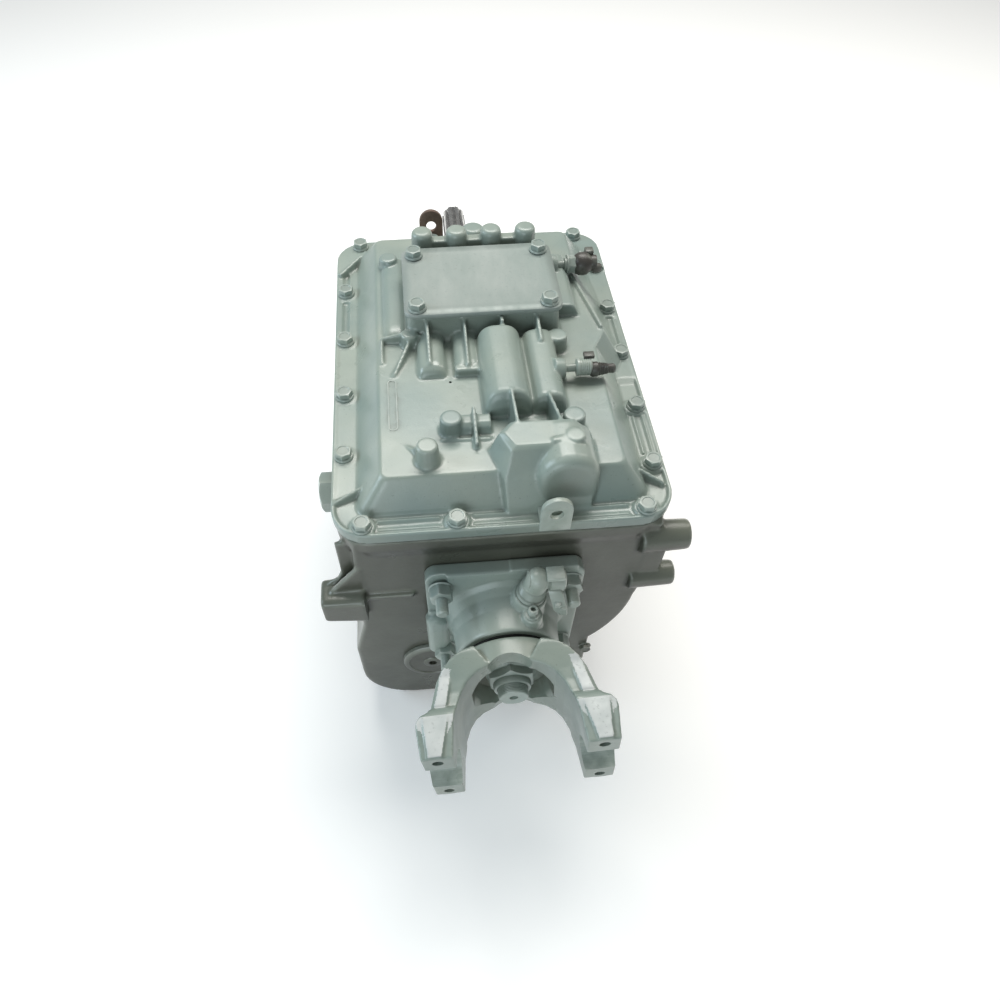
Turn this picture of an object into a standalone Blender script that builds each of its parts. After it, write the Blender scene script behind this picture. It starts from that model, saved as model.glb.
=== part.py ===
"""A six-speed truck gearbox: ribbed iron case, cast top cover with the four shift rails, coaxial input and output
shafts over a countershaft, reverse idler, and a half-round end yoke on the output.

Design axes, in millimetres: X to the right seen from the output end, Y towards the input end, Z up.
Y = 0 is the rear row of cover bolts and Z = 0 the top of the cover's flange. The root empty then puts the
whole assembly on its footprint's centre, standing on Z = 0.
"""

from math import atan2, cos, pi, radians, sin, sqrt

import bmesh
import bpy
from mathutils import Matrix, Vector

MM = 0.001
GAP = 0.3                 # air left between neighbouring solids
RUNNING_GAP = 0.6         # air left around anything that turns, more than the facets' sagitta

# Cover flange, the part that all other places are taken from
FLANGE_HALF_X = 170
FLANGE_Y = (-12.5, 469.5)
FLANGE_CORNER = 38
FLANGE_Z = (-12, 0)
BOLT_COLUMN_X = 157.5
BOLTS_LEFT_Y = (94, 183, 275, 366)
BOLTS_RIGHT_Y = (57, 140, 226, 309, 392)
BOLT_HOLE_R = 5.2
BOLT_SHANK_R = 4.8

# The raised pan of the cover: foot on the flange, then the flat deck
PAN_FOOT = (-143, 145, 13, 444)
PAN_DECK = (-118, 120, 31, 426)
DECK_Z = 32
COVER_WALL = 8

# Access box over the shift rails
PLATE_HALF_X = 85
PLATE_Y = (223, 345)
PLATE_Z = (62.3, 67.5)
BOX_TOP_Z = 62
PLATE_BOLTS = ((-71, 235), (71, 235), (-71, 330), (71, 330))

# Shift rails
RAIL_X = (-60, -20, 20, 60)
RAIL_Z = 0
RAIL_R = 7
RAIL_TRAVEL = 10           # each way from neutral
RAIL_Y = (32 + RAIL_TRAVEL, 424 - RAIL_TRAVEL)
RAIL_WEBS_Y = ((44, 56), (402, 412))
DETENT_Y = 364
DETENT_TOP_Z = 77

# Lifting eyes, over the flange's edges
EYE_Z = (-3, 40)
EYE_HOLE_Z = 20

# Case
CASE_Y = (-8, 465)
CASE_INNER_Y = (6, 449)
CASE_TOP_Z = -14.2
CASE_BOTTOM_Z = -366
CASE_WALL = 8
RIM_HALF_X = 168
RIM_BOTTOM_Z = -30

# Frame bosses level with the rear wall, at Y, Z
LEFT_BOSS = (-4, -119)
RIGHT_BOSSES = ((-2, -45), (-2, -115))
LEFT_BOSS_END_X = -198
BOSS_END_X = 192

# Shaft centres and the gear train
MAIN_Z = -143
CENTRE_DISTANCE = 150
COUNTER_X = -85
COUNTER_Z = MAIN_Z - sqrt(CENTRE_DISTANCE**2 - COUNTER_X**2)
MODULE = 2 * CENTRE_DISTANCE / 48
INPUT_TEETH, HEADSET_TEETH = 23, 25
IDLER_TEETH = 15
# name, teeth on the countershaft, teeth on the main line, Y of the gear, side of its dog ring
RATIOS = (
    ("fifth_gear", 22, 26, (336, 360), 1),
    ("fourth_gear", 19, 29, (308, 332), -1),
    ("third_gear", 16, 32, (232, 256), 1),
    ("second_gear", 14, 34, (202, 228), -1),
    ("first_gear", 11, 37, (122, 150), 1),
    ("reverse_gear", 12, 32, (92, 118), -1),
)
INPUT_GEAR_Y = (412, 440)
REVERSE_Y = (92, 118)
DOG_WIDTH = 6
DOG_R = 40
SLEEVES = (
    ("reverse_sleeve", 66, 3),
    ("first_second_sleeve", 176, 2),
    ("third_fourth_sleeve", 282, 1),
    ("fifth_sixth_sleeve", 386, 0),
)
SLEEVE_R = (40.5, 54)
GROOVE_R = 48
SLEEVE_WIDTH = 28
GROOVE_WIDTH = 9
MAIN_SHAFT_R = 28
COUNTER_CORE_R = 24

# Output end
REAR_COVER_HALF = 84
REAR_COVER_Y = (-25, -8.3)
REAR_BARREL_R = 56.5
REAR_BARREL_END_Y = -78
REAR_STUDS = ((-68, 63), (68, 63), (-68, -63), (68, -63))
SENSOR = (22, -41)
SENSOR_ELBOW_Z = -50
YOKE_HUB_Y = (-112, -83)
YOKE_FACE_Y = -204
YOKE_HUB_R = 57
YOKE_BOLT_X, YOKE_BOLT_Z = 79, 43.8
YOKE_ARM_HALF_Z = 58
YOKE_SADDLE_R = 27
YOKE_REST_ANGLE = radians(5.4)
SHAFT_END_Y = -128

# Input end
INPUT_TIP_Y = 785
QUILL_END_Y = 640

FRAME_X = -(LEFT_BOSS_END_X + BOSS_END_X) / 2
FRAME_Y = (YOKE_FACE_Y + INPUT_TIP_Y) / 2

COLOURS = {
    "enamel": ((0.36, 0.42, 0.38), 0.38, 0.0),
    "plate_enamel": ((0.45, 0.49, 0.46), 0.35, 0.1),
    "steel": ((0.55, 0.55, 0.54), 0.25, 1.0),
    "gear_steel": ((0.35, 0.35, 0.36), 0.35, 1.0),
    "seal_rubber": ((0.03, 0.03, 0.03), 0.6, 0.0),
    "gasket": ((0.12, 0.13, 0.12), 0.8, 0.0),
    "bare_iron": ((0.16, 0.11, 0.08), 0.6, 0.4),
}


def clear_scene():
    for item in list(bpy.data.objects):
        bpy.data.objects.remove(item, do_unlink=True)


def make_material(name):
    colour, roughness, metallic = COLOURS[name]
    material = bpy.data.materials.new(name)
    material.use_nodes = True
    shader = material.node_tree.nodes["Principled BSDF"]
    shader.inputs["Base Color"].default_value = (*colour, 1)
    shader.inputs["Roughness"].default_value = roughness
    shader.inputs["Metallic"].default_value = metallic
    return material


# ---- outlines: lists of (u, v) in millimetres ----


def arc(centre, radius, start, end, steps):
    """Points from one angle to another, in degrees, both ends included."""
    angles = [radians(start + (end - start) * i / steps) for i in range(steps + 1)]
    return [(centre[0] + radius * cos(a), centre[1] + radius * sin(a)) for a in angles]


def circle(radius, sides, centre=(0, 0), phase=0.0):
    turns = [phase + 2 * pi * i / sides for i in range(sides)]
    return [(centre[0] + radius * cos(a), centre[1] + radius * sin(a)) for a in turns]


def rounded_box(low, high, radius, steps=4):
    corners = (
        ((high[0] - radius, high[1] - radius), 0),
        ((low[0] + radius, high[1] - radius), 90),
        ((low[0] + radius, low[1] + radius), 180),
        ((high[0] - radius, low[1] + radius), 270),
    )
    return [point for centre, start in corners for point in arc(centre, radius, start, start + 90, steps)]


def gear_outline(teeth, aim):
    """Straight-flanked teeth with backlash; one tooth is centred on the angle aim."""
    pitch_r = MODULE * teeth / 2
    tip_r = pitch_r + 0.74 * MODULE
    root_r = pitch_r - 1.12 * MODULE
    width = 0.40 * pi * MODULE
    slope = 2 * 0.364
    tip_half = (width - slope * (tip_r - pitch_r)) / 2 / tip_r
    root_half = (width + slope * (pitch_r - root_r)) / 2 / root_r
    points = []
    for tooth in range(teeth):
        middle = aim + 2 * pi * tooth / teeth
        for offset, radius in ((-root_half, root_r), (-tip_half, tip_r), (tip_half, tip_r), (root_half, root_r)):
            points.append((radius * cos(middle + offset), radius * sin(middle + offset)))
    return points


# ---- solids ----


def on_axis(u, v, along, axis):
    """A point whose outline coordinates are u, v and whose distance along the axis is along."""
    return {"X": (along, u, v), "Y": (u, along, v), "Z": (u, v, along)}[axis]


def loft(rings, closed=False):
    """One solid through rings of points: capped at both ends, or joined end to end when closed."""
    mesh = bpy.data.meshes.new("solid")
    build = bmesh.new()
    rows = [[build.verts.new(Vector(point) * MM) for point in ring] for ring in rings]
    count = len(rows[0])
    pairs = list(zip(rows, rows[1:] + rows[:1])) if closed else list(zip(rows, rows[1:]))
    for lower, upper in pairs:
        for i in range(count):
            j = (i + 1) % count
            build.faces.new((lower[i], lower[j], upper[j], upper[i]))
    if not closed:
        build.faces.new(rows[0])
        build.faces.new(rows[-1])
    bmesh.ops.recalc_face_normals(build, faces=build.faces)
    build.to_mesh(mesh)
    build.free()
    item = bpy.data.objects.new("solid", mesh)
    bpy.context.scene.collection.objects.link(item)
    return item


def prism(outline, low, high, axis="Z"):
    return loft([[on_axis(u, v, level, axis) for u, v in outline] for level in (low, high)])


def block(low, high):
    outline = ((low[0], low[1]), (high[0], low[1]), (high[0], high[1]), (low[0], high[1]))
    return prism(outline, low[2], high[2])


def turned(profile, axis="Y", centre=(0, 0), sides=24, closed=False):
    """A turned solid; profile lists (radius, distance along the axis), all radii above zero."""
    rings = []
    for radius, along in profile:
        rings.append([on_axis(u, v, along, axis) for u, v in circle(radius, sides, centre)])
    return loft(rings, closed)


def ring(inner, outer, low, high, axis="Y", centre=(0, 0), sides=24):
    return turned([(inner, low), (outer, low), (outer, high), (inner, high)], axis, centre, sides, closed=True)


def hexagon(flats, low, high, axis, centre, phase=0.0):
    return prism(circle(flats / sqrt(3), 6, centre, phase), low, high, axis)


def dome(radius, low, top, centre, sides=12, crown=4):
    """An upright round boss with a rounded top edge."""
    profile = [(radius, low), (radius, top - crown)]
    profile += [(radius - crown * (1 - cos(radians(a))), top - crown * (1 - sin(radians(a)))) for a in (45, 90)]
    return turned(profile, "Z", centre, sides)


def change(base, others, operation):
    """Applies one exact Boolean for each of the others, which are then removed."""
    for other in others:
        modifier = base.modifiers.new("step", "BOOLEAN")
        modifier.solver = "EXACT"
        modifier.operation = operation
        modifier.object = other
    bpy.context.view_layer.update()
    graph = bpy.context.evaluated_depsgraph_get()
    mesh = bpy.data.meshes.new_from_object(base.evaluated_get(graph))
    base.modifiers.clear()
    base.data = mesh
    for other in others:
        bpy.data.objects.remove(other, do_unlink=True)
    return base


def add(base, *others):
    return change(base, others, "UNION")


def cut(base, *others):
    return change(base, others, "DIFFERENCE")


def place(item, name, material, axis_at=(0, 0, 0)):
    """Names a finished solid, moves its origin to axis_at and hangs it on the root empty."""
    item.name = name
    item.data.name = name
    item.data.transform(Matrix.Translation(-Vector(axis_at) * MM))
    item.location = Vector(axis_at) * MM
    item.parent = ROOT
    item.data.materials.clear()
    item.data.materials.append(MATERIALS[material])
    item.data.shade_smooth()
    item.data.set_sharp_from_angle(angle=radians(35))
    return item


# ---- case ----


def case_section(inset, top):
    """Outline in X, Z: straight sides, a bulge for the countershaft, a flat sump and a belly round the main shaft."""
    bulge = -177 + inset
    bottom = CASE_BOTTOM_Z + inset
    belly = 154 - inset
    points = [(160 - inset, top), (-153 + inset, top), (-158 + inset, -120), (-161 + inset, -175), (bulge, -234)]
    points += arc((bulge + 66 - inset, -300), 66 - inset, 180, 270, 6)
    points += [(50 - inset / 2, bottom), (115 - inset, -306 + inset / 2)]
    points += arc((0, MAIN_Z), belly, -41.9, -3, 6)
    points += [(160 - inset, -120)]
    return points


def flange_outline(half_x, y_low, y_high, corner):
    return rounded_box((-half_x, y_low), (half_x, y_high), corner)


def main_case():
    case = prism(case_section(0, CASE_TOP_Z - 4), *CASE_Y, axis="Y")
    rim = prism(flange_outline(RIM_HALF_X, -11, 468, 36), RIM_BOTTOM_Z, CASE_TOP_Z)
    (left_y, left_z), (upper_y, upper_z), lower_z = LEFT_BOSS, RIGHT_BOSSES[0], RIGHT_BOSSES[1][1]
    square = rounded_box((left_y - 19, left_z - 19), (left_y + 19, left_z + 19), 8, 2)
    left_boss = prism(square, LEFT_BOSS_END_X, -150, "X")
    upper_boss = prism(circle(16, 16, RIGHT_BOSSES[0]), 140, BOSS_END_X, "X")
    lower_boss = prism(circle(14, 16, RIGHT_BOSSES[1]), 140, BOSS_END_X, "X")
    boss_web = block((150, upper_y - 8, lower_z), (176, upper_y + 8, upper_z))
    gusset = prism(((-152, -56), (-188, left_z + 14), (-152, left_z + 14)), left_y - 4, left_y + 4, "Y")
    rear_rib = block((-166, -14, left_z - 1), (-98, 2, left_z + 12))
    front_ring = turned([(92, 460), (92, 472)], "Y", (0, MAIN_Z), 32)
    front_foot = block((-150, 452, -345), (112, 472, -318))
    plug_boss = prism(circle(24, 16, (98, -58)), -168, -154, "X")
    add(case, rim, left_boss, upper_boss, lower_boss, boss_web, gusset, rear_rib, front_ring, front_foot, plug_boss)
    cut(case, prism(case_section(CASE_WALL, CASE_TOP_Z + 5), *CASE_INNER_Y, axis="Y"))
    counter = (COUNTER_X, COUNTER_Z)
    cut(
        case,
        prism(circle(55.5, 32, (0, MAIN_Z)), -20, 20, "Y"),
        prism(circle(50.5, 32, (0, MAIN_Z)), 440, 480, "Y"),
        prism(circle(32.5, 24, counter), -20, 20, "Y"),
        prism(circle(32.5, 24, counter), 440, 480, "Y"),
        prism(circle(12.4, 16, idler_centre()), -20, 20, "Y"),
        prism(circle(14, 16, (98, -58)), -180, -140, "X"),
        prism(circle(11, 16, (-60, 225)), -380, -350, "Z"),
        prism(rounded_box((135, -290), (255, -246), 10, 2), -190, -160, "X"),
        prism(rounded_box((135, -296), (255, -256), 10, 2), 98, 130, "X"),
        *(prism(circle(5, 8, boss), BOSS_END_X - 24, BOSS_END_X + 10, "X") for boss in RIGHT_BOSSES),
        prism(circle(6, 8, LEFT_BOSS), LEFT_BOSS_END_X - 10, LEFT_BOSS_END_X + 24, "X"),
    )
    return place(case, "main_case", "enamel")


def cover_gasket():
    outer = flange_outline(RIM_HALF_X - 0.5, -10, 467, 35)
    inner = flange_outline(146, 11, 446, 14)
    rings = [
        [(u, v, z) for u, v in outline]
        for outline, z in ((inner, -13.9), (outer, -13.9), (outer, -12.3), (inner, -12.3))
    ]
    return place(loft(rings, closed=True), "cover_gasket", "gasket")


def pan(inset, foot_z, deck_z):
    """The cover's raised pan, or its hollow when inset is above zero."""
    rings = []
    for (x0, x1, y0, y1), z in ((PAN_FOOT, foot_z), (PAN_DECK, deck_z)):
        low, high = (x0 + inset, y0 + inset), (x1 - inset, y1 - inset)
        rings.append([(u, v, z) for u, v in rounded_box(low, high, 12, 2)])
    return loft(rings)


def tunnel(centre_x, radius, y_low, y_high, top, sides=12):
    """A half-round hump running fore and aft, with straight sides down into the deck."""
    spring = top - radius
    outline = [(centre_x + radius, DECK_Z - 4)] + arc((centre_x, spring), radius, 0, 180, sides)
    outline += [(centre_x - radius, DECK_Z - 4)]
    return prism(outline, y_low, y_high, "Y")


def box_shell(inset, low_z, high_z):
    rings = []
    for grow, z in ((6, low_z), (-3, high_z)):
        low = (-PLATE_HALF_X - grow + inset, PLATE_Y[0] - grow + inset)
        high = (PLATE_HALF_X + grow - inset, PLATE_Y[1] + grow - inset)
        rings.append([(u, v, z) for u, v in rounded_box(low, high, 10, 2)])
    return loft(rings)


def hood():
    """The rounded housing over the selector's rear end, its front flank standing on the rear flange."""
    rings = []
    for scale, z in ((1.0, -4), (1.0, 40), (0.93, 50), (0.72, 57), (0.35, 60)):
        half = arc((62, 42), 29 * scale, 180, 360, 10)
        rings.append([(u, v, z) for u, v in half + [(62 + 29 * scale, 78), (62 - 29 * scale, 78)]])
    return loft(rings)


def rear_box():
    rings = []
    for grow, z in ((6, 4), (2, DECK_Z), (0, 55), (-3, 59)):
        low, high = (-3 - grow, 22 - grow * 2), (80 + grow, 76 + grow / 2)
        rings.append([(u, v, z) for u, v in rounded_box(low, high, 12, 3)])
    return loft(rings)


def top_cover():
    cover = prism(flange_outline(FLANGE_HALF_X, *FLANGE_Y, FLANGE_CORNER), *FLANGE_Z)
    add(cover, pan(0, -3, DECK_Z), box_shell(0, DECK_Z - 3, BOX_TOP_Z), rear_box(), hood())
    add(
        cover,
        tunnel(-60, 14.5, 169, 240, 45, 8),
        tunnel(-21, 16, 170, 240, 45, 8),
        tunnel(13, 24, 104, 235, 61),
        tunnel(56, 18, 106, 235, 52, 8),
        prism([(85, DECK_Z - 4), *arc((93, 34), 8, 180, 0, 6), (101, DECK_Z - 4)], -46, -8, "X"),
    )
    bosses = ((-72, 50, 10, 54), (-46, 88, 10, 52), (75, 81, 10, 52), (77, 205, 9.5, 48), (-102, 369, 9.5, 36))
    add(cover, *(dome(r, DECK_Z - 4, top, (x, y)) for x, y, r, top in bosses))
    add(cover, *(dome(12, DECK_Z - 4, DETENT_TOP_Z, (x, DETENT_Y)) for x in RAIL_X))
    cut(cover, pan(COVER_WALL, FLANGE_Z[0] - 3, DECK_Z - COVER_WALL))
    cut(cover, box_shell(COVER_WALL, DECK_Z - COVER_WALL - 4, BOX_TOP_Z - 6))
    opening = rounded_box((-58, 248), (58, 318), 12, 2)
    cut(cover, prism(opening, 40, 80))
    webs = [block((-84, y0, -13), (84, y1, 27)) for y0, y1 in RAIL_WEBS_Y]
    add(cover, *webs)
    rail_holes = [prism(circle(RAIL_R + 0.4, 10, (x, RAIL_Z)), 30, 425, "Y") for x in RAIL_X]
    cut(cover, *rail_holes)
    columns = [(-BOLT_COLUMN_X, y) for y in BOLTS_LEFT_Y] + [(BOLT_COLUMN_X, y) for y in BOLTS_RIGHT_Y]
    cut(cover, *(prism(circle(BOLT_HOLE_R, 8, at), -20, 10) for at in columns))
    return place(cover, "top_cover", "enamel")


def access_plate():
    low, high = (-PLATE_HALF_X, PLATE_Y[0]), (PLATE_HALF_X, PLATE_Y[1])
    plate = prism(rounded_box(low, high, 12, 3), *PLATE_Z)
    cut(plate, *(prism(circle(BOLT_HOLE_R, 8, at), 50, 80) for at in PLATE_BOLTS))
    return place(plate, "shift_access_plate", "plate_enamel")


def bolt(name, at, seat_z, shank):
    """An M10 flange bolt: hexagon head, washer face and the shank in its hole."""
    head = hexagon(16, seat_z + GAP + 2, seat_z + GAP + 8, "Z", at, 0.3)
    flange = prism(circle(10, 8, at), seat_z + GAP, seat_z + GAP + 2.4)
    body = prism(circle(BOLT_SHANK_R, 6, at), seat_z - shank, seat_z + GAP + 1)
    return place(add(flange, head, body), name, "enamel", (*at, seat_z))


def cover_bolts():
    for side, x, rows in (("left", -BOLT_COLUMN_X, BOLTS_LEFT_Y), ("right", BOLT_COLUMN_X, BOLTS_RIGHT_Y)):
        for number, y in enumerate(rows, 1):
            bolt(f"cover_bolt_{side}_{number}", (x, y), FLANGE_Z[1], 11)
    for number, at in enumerate(PLATE_BOLTS, 1):
        bolt(f"plate_bolt_{number}", at, PLATE_Z[1], 5)


def pto_covers():
    for name, x0, x1, z0, z1 in (("left", -187, -177.3, -298, -238), ("right", 115.3, 125, -304, -250)):
        plate = prism(rounded_box((118, z0), (272, z1), 14, 3), x0, x1, "X")
        place(plate, f"pto_cover_{name}", "enamel")


def plugs():
    fill = hexagon(38, -BOSS_END_X, -170, "X", (98, -58))
    add(fill, prism(circle(13.6, 16, (98, -58)), -172, -156, "X"))
    cut(fill, prism(circle(9, 4, (98, -58)), -210, -182, "X"))
    place(fill, "fill_plug", "enamel")
    drain = turned([(10.6, -358), (10.6, -365)], "Z", (-60, 225), 16)
    cut(drain, hexagon(8, -370, -362, "Z", (-60, 225)))
    place(drain, "drain_plug", "steel")


def lifting_eyes():
    """Angle brackets bolted at the rear and front edges of the cover, with the lifting hole standing above."""
    for name, x, edge, out, material in (
        ("rear_lifting_eye", 46, FLANGE_Y[0], -1, "enamel"),
        ("front_lifting_eye", -46, FLANGE_Y[1], 1, "bare_iron"),
    ):
        near, far = edge + out * GAP, edge + out * (GAP + 5)
        upright = rounded_box((x - 15, EYE_Z[0]), (x + 15, EYE_Z[1]), 12, 3)
        eye = prism(upright, min(near, far), max(near, far), "Y")
        inner = edge - out * 21
        foot_low, foot_high = min(inner, far - out), max(inner, far - out)
        add(eye, block((x - 13, foot_low, GAP), (x + 13, foot_high, 4.5)))
        cut(eye, prism(circle(6.5, 12, (x, EYE_HOLE_Z)), edge - 15, edge + 15, "Y"))
        cut(eye, prism(circle(BOLT_HOLE_R, 8, (x, edge - out * 12.5)), -2, 10))
        place(eye, name, material)


# ---- output end ----


def rear_bearing_cover():
    half = REAR_COVER_HALF
    flange = prism(
        rounded_box((-half, MAIN_Z - half), (half, MAIN_Z + half), 16), REAR_COVER_Y[0], REAR_COVER_Y[1], "Y"
    )
    barrel = [(66, -14), (66, -30), (REAR_BARREL_R + 2, -37), (REAR_BARREL_R, REAR_BARREL_END_Y)]
    add(flange, turned(barrel, "Y", (0, MAIN_Z), 28))
    add(flange, block((6, -23, MAIN_Z + 70), (74, -10, MAIN_Z + 86)))
    add(flange, turned([(17, MAIN_Z + 50), (17, MAIN_Z + 63), (15, MAIN_Z + 66)], "Z", SENSOR, 16))
    cut(
        flange,
        turned([(40, 0), (40, -64), (49, -64), (49, -100)], "Y", (0, MAIN_Z), 24),
        prism(circle(12.4, 16, SENSOR), MAIN_Z + 40, MAIN_Z + 80, "Z"),
        *(prism(circle(7, 8, (x, MAIN_Z + z)), -60, 0, "Y") for x, z in REAR_STUDS),
    )
    return place(flange, "rear_bearing_cover", "enamel")


def rear_seal():
    seal = ring(35.5, 48.6, -79.5, -65, "Y", (0, MAIN_Z))
    return place(seal, "rear_oil_seal", "seal_rubber")


def rear_studs():
    for number, (x, z) in enumerate(REAR_STUDS, 1):
        at = (x, MAIN_Z + z)
        stud = prism(circle(6.4, 8, at), -58, -8.6, "Y")
        add(stud, hexagon(22, -36, -25.3, "Y", at, radians(10 * number)))
        place(stud, f"rear_stud_nut_{number}", "enamel")


def speed_sensor():
    profile = [(11.6, MAIN_Z + 53), (11.6, MAIN_Z + 66.5), (14, MAIN_Z + 66.5), (14, MAIN_Z + 82)]
    profile += [(11, SENSOR_ELBOW_Z), (10, SENSOR_ELBOW_Z + 9), (7, SENSOR_ELBOW_Z + 12)]
    sensor = turned(profile, "Z", SENSOR, 12)
    elbow = turned([(9, 22), (9, 44), (11, 45), (11, 58)], "X", (SENSOR[1], SENSOR_ELBOW_Z), 12)
    return place(add(sensor, elbow), "output_speed_sensor", "enamel")


def output_yoke():
    """Hub, two arms and four lugs around half-round saddles, turned to its rest angle about the output axis."""
    hub = turned([(52, YOKE_HUB_Y[1]), (YOKE_HUB_R, YOKE_HUB_Y[1] - 5), (YOKE_HUB_R, YOKE_HUB_Y[0])], "Y", (0, 0), 28)
    arms = []
    for side in (-1, 1):
        outline = [(28, -112), (46, -124), (58, -142), (61, YOKE_FACE_Y), (97, YOKE_FACE_Y), (99, -160),
                   (88, -152), (78, -124), (62, -100), (40, -92)]
        arm = prism([(side * u, v) for u, v in outline], -YOKE_ARM_HALF_Z, YOKE_ARM_HALF_Z, "Z")
        arms.append(arm)
    add(hub, *arms)
    waist = []
    for side in (-1, 1):
        edge = [(-70, side * 80), (-70, side * 60), (-104, side * 55), (-126, side * 46), (-150, side * 50),
                (-160, side * 59), (-215, side * 59), (-215, side * 80)]
        waist.append(prism(edge, -110, 110, "X"))
    cut(hub, *waist)
    cut(
        hub,
        prism(circle(YOKE_SADDLE_R, 16, (YOKE_FACE_Y, 0)), -110, 110, "X"),
        turned([(40, -120), (40, -97)], "Y", (0, 0), 24),
        prism(circle(24.4, 24), -100, -70, "Y"),
        *(
            prism(circle(5.5, 8, (x * YOKE_BOLT_X, z * YOKE_BOLT_Z)), YOKE_FACE_Y - 10, -168, "Y")
            for x in (-1, 1) for z in (-1, 1)
        ),
    )
    add(hub, ring(24.4, 34.5, YOKE_HUB_Y[1] - 3, -62, "Y", (0, 0)))
    hub.data.transform(Matrix.Rotation(-YOKE_REST_ANGLE, 4, "Y"))
    hub.data.transform(Matrix.Translation((0, 0, MAIN_Z * MM)))
    return place(hub, "output_yoke", "enamel", (0, 0, MAIN_Z))


def yoke_nut():
    nut = hexagon(46, -117, -97.4, "Y", (0, MAIN_Z), radians(5))
    add(nut, turned([(26, -97.4), (26, -101)], "Y", (0, MAIN_Z), 16))
    cut(nut, prism(circle(16.5, 16, (0, MAIN_Z)), -130, -90, "Y"))
    return place(nut, "yoke_nut", "enamel", (0, 0, MAIN_Z))


# ---- covers at the front and on the countershaft ----


def front_retainer():
    profile = [(78, 472.4), (78, 484), (44, 488), (36, 500), (32, 510), (32, QUILL_END_Y)]
    bore = [(24.5, QUILL_END_Y), (24.5, 472.4)]
    return place(turned(profile + bore, "Y", (0, MAIN_Z), 24, closed=True), "front_bearing_retainer", "enamel")


def countershaft_covers():
    centre = (COUNTER_X, COUNTER_Z)
    rear = turned([(37, -8.3), (37, -14), (34, -16)], "Y", centre, 24)
    cut(rear, hexagon(10, -20, -12, "Y", centre))
    place(rear, "countershaft_rear_cover", "enamel")
    front = turned([(41, 465.3), (41, 470), (38, 472)], "Y", centre, 24)
    cut(front, prism(circle(79, 32, (0, MAIN_Z)), 460, 480, "Y"))
    place(front, "countershaft_front_cover", "enamel")


def bearings():
    main, counter = (0, MAIN_Z), (COUNTER_X, COUNTER_Z)
    for name, inner, outer, low, high, centre in (
        ("main_rear_bearing", 30.6, 55.1, -8, 12, main),
        ("input_bearing", 28.6, 50.1, 449, 468, main),
        ("countershaft_rear_bearing", 18.6, 32.1, -7.6, 12, counter),
        ("countershaft_front_bearing", 18.6, 32.1, 446, 464.6, counter),
    ):
        place(ring(inner, outer, low, high, "Y", centre), name, "steel", (centre[0], 0, centre[1]))


# ---- gear train ----


def idler_centre():
    """Where the reverse idler meshes with both the countershaft's pinion and the reverse gear."""
    to_counter = MODULE * (RATIOS[-1][1] + IDLER_TEETH) / 2
    to_main = MODULE * (RATIOS[-1][2] + IDLER_TEETH) / 2
    along = (to_counter**2 - to_main**2 + CENTRE_DISTANCE**2) / (2 * CENTRE_DISTANCE)
    aside = sqrt(to_counter**2 - along**2)
    unit_x, unit_z = -COUNTER_X / CENTRE_DISTANCE, (MAIN_Z - COUNTER_Z) / CENTRE_DISTANCE
    return (COUNTER_X + unit_x * along + unit_z * aside, COUNTER_Z + unit_z * along - unit_x * aside)


def toothed(teeth, aim, low, high, centre):
    outline = [(centre[0] + u, centre[1] + v) for u, v in gear_outline(teeth, aim)]
    return prism(outline, low, high, "Y")


UP = atan2(MAIN_Z - COUNTER_Z, -COUNTER_X)       # from the countershaft's centre to the main centre


def free_gears():
    for name, _, teeth, (low, high), side in RATIOS:
        aim = UP + pi + pi / teeth
        if name == "reverse_gear":
            x, z = idler_centre()
            aim = atan2(z - MAIN_Z, x)
        gear = toothed(teeth, aim, low, high, (0, MAIN_Z))
        dog = (high - 1, high + DOG_WIDTH) if side > 0 else (low - DOG_WIDTH, low + 1)
        add(gear, prism(circle(DOG_R, 24, (0, MAIN_Z)), *dog, axis="Y"))
        cut(gear, prism(circle(MAIN_SHAFT_R + RUNNING_GAP, 20, (0, MAIN_Z)), low - 20, high + 20, "Y"))
        place(gear, name, "gear_steel", (0, 0, MAIN_Z))


def reverse_idler():
    centre = idler_centre()
    x, z = centre
    aim = atan2(MAIN_Z - z, -x) + pi / IDLER_TEETH
    gear = toothed(IDLER_TEETH, aim, *REVERSE_Y, centre)
    cut(gear, prism(circle(12.6, 16, centre), 80, 130, "Y"))
    place(gear, "reverse_idler_gear", "gear_steel", (x, 0, z))
    shaft = prism(circle(12, 16, centre), -7.6, 124, "Y")
    add(shaft, prism(circle(18, 16, centre), 6.4, 91, "Y"))
    place(shaft, "reverse_idler_shaft", "steel", (x, 0, z))


def pinion_aim():
    """Aims the countershaft's reverse pinion at a gap of the idler."""
    x, z = idler_centre()
    to_main = atan2(MAIN_Z - z, -x)
    to_counter = atan2(COUNTER_Z - z, COUNTER_X - x)
    idler_pitch, pinion_pitch = 2 * pi / IDLER_TEETH, 2 * pi / RATIOS[-1][1]
    past_tooth = ((to_counter - to_main) / idler_pitch - 0.5) % 1.0
    return to_counter + pi + (past_tooth + 0.5) * pinion_pitch


def countershaft():
    centre = (COUNTER_X, COUNTER_Z)
    profile = [(18, -4), (18, 13), (COUNTER_CORE_R, 14), (COUNTER_CORE_R, 444), (18, 445.4), (18, 462)]
    shaft = turned(profile, "Y", centre, 16)
    stages = [toothed(HEADSET_TEETH, UP, *INPUT_GEAR_Y, centre)]
    for name, teeth, _, (low, high), _ in RATIOS:
        aim = pinion_aim() if name == "reverse_gear" else UP
        stages.append(toothed(teeth, aim, low, high, centre))
    add(shaft, *stages)
    return place(shaft, "countershaft", "gear_steel", (COUNTER_X, 0, COUNTER_Z))


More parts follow.
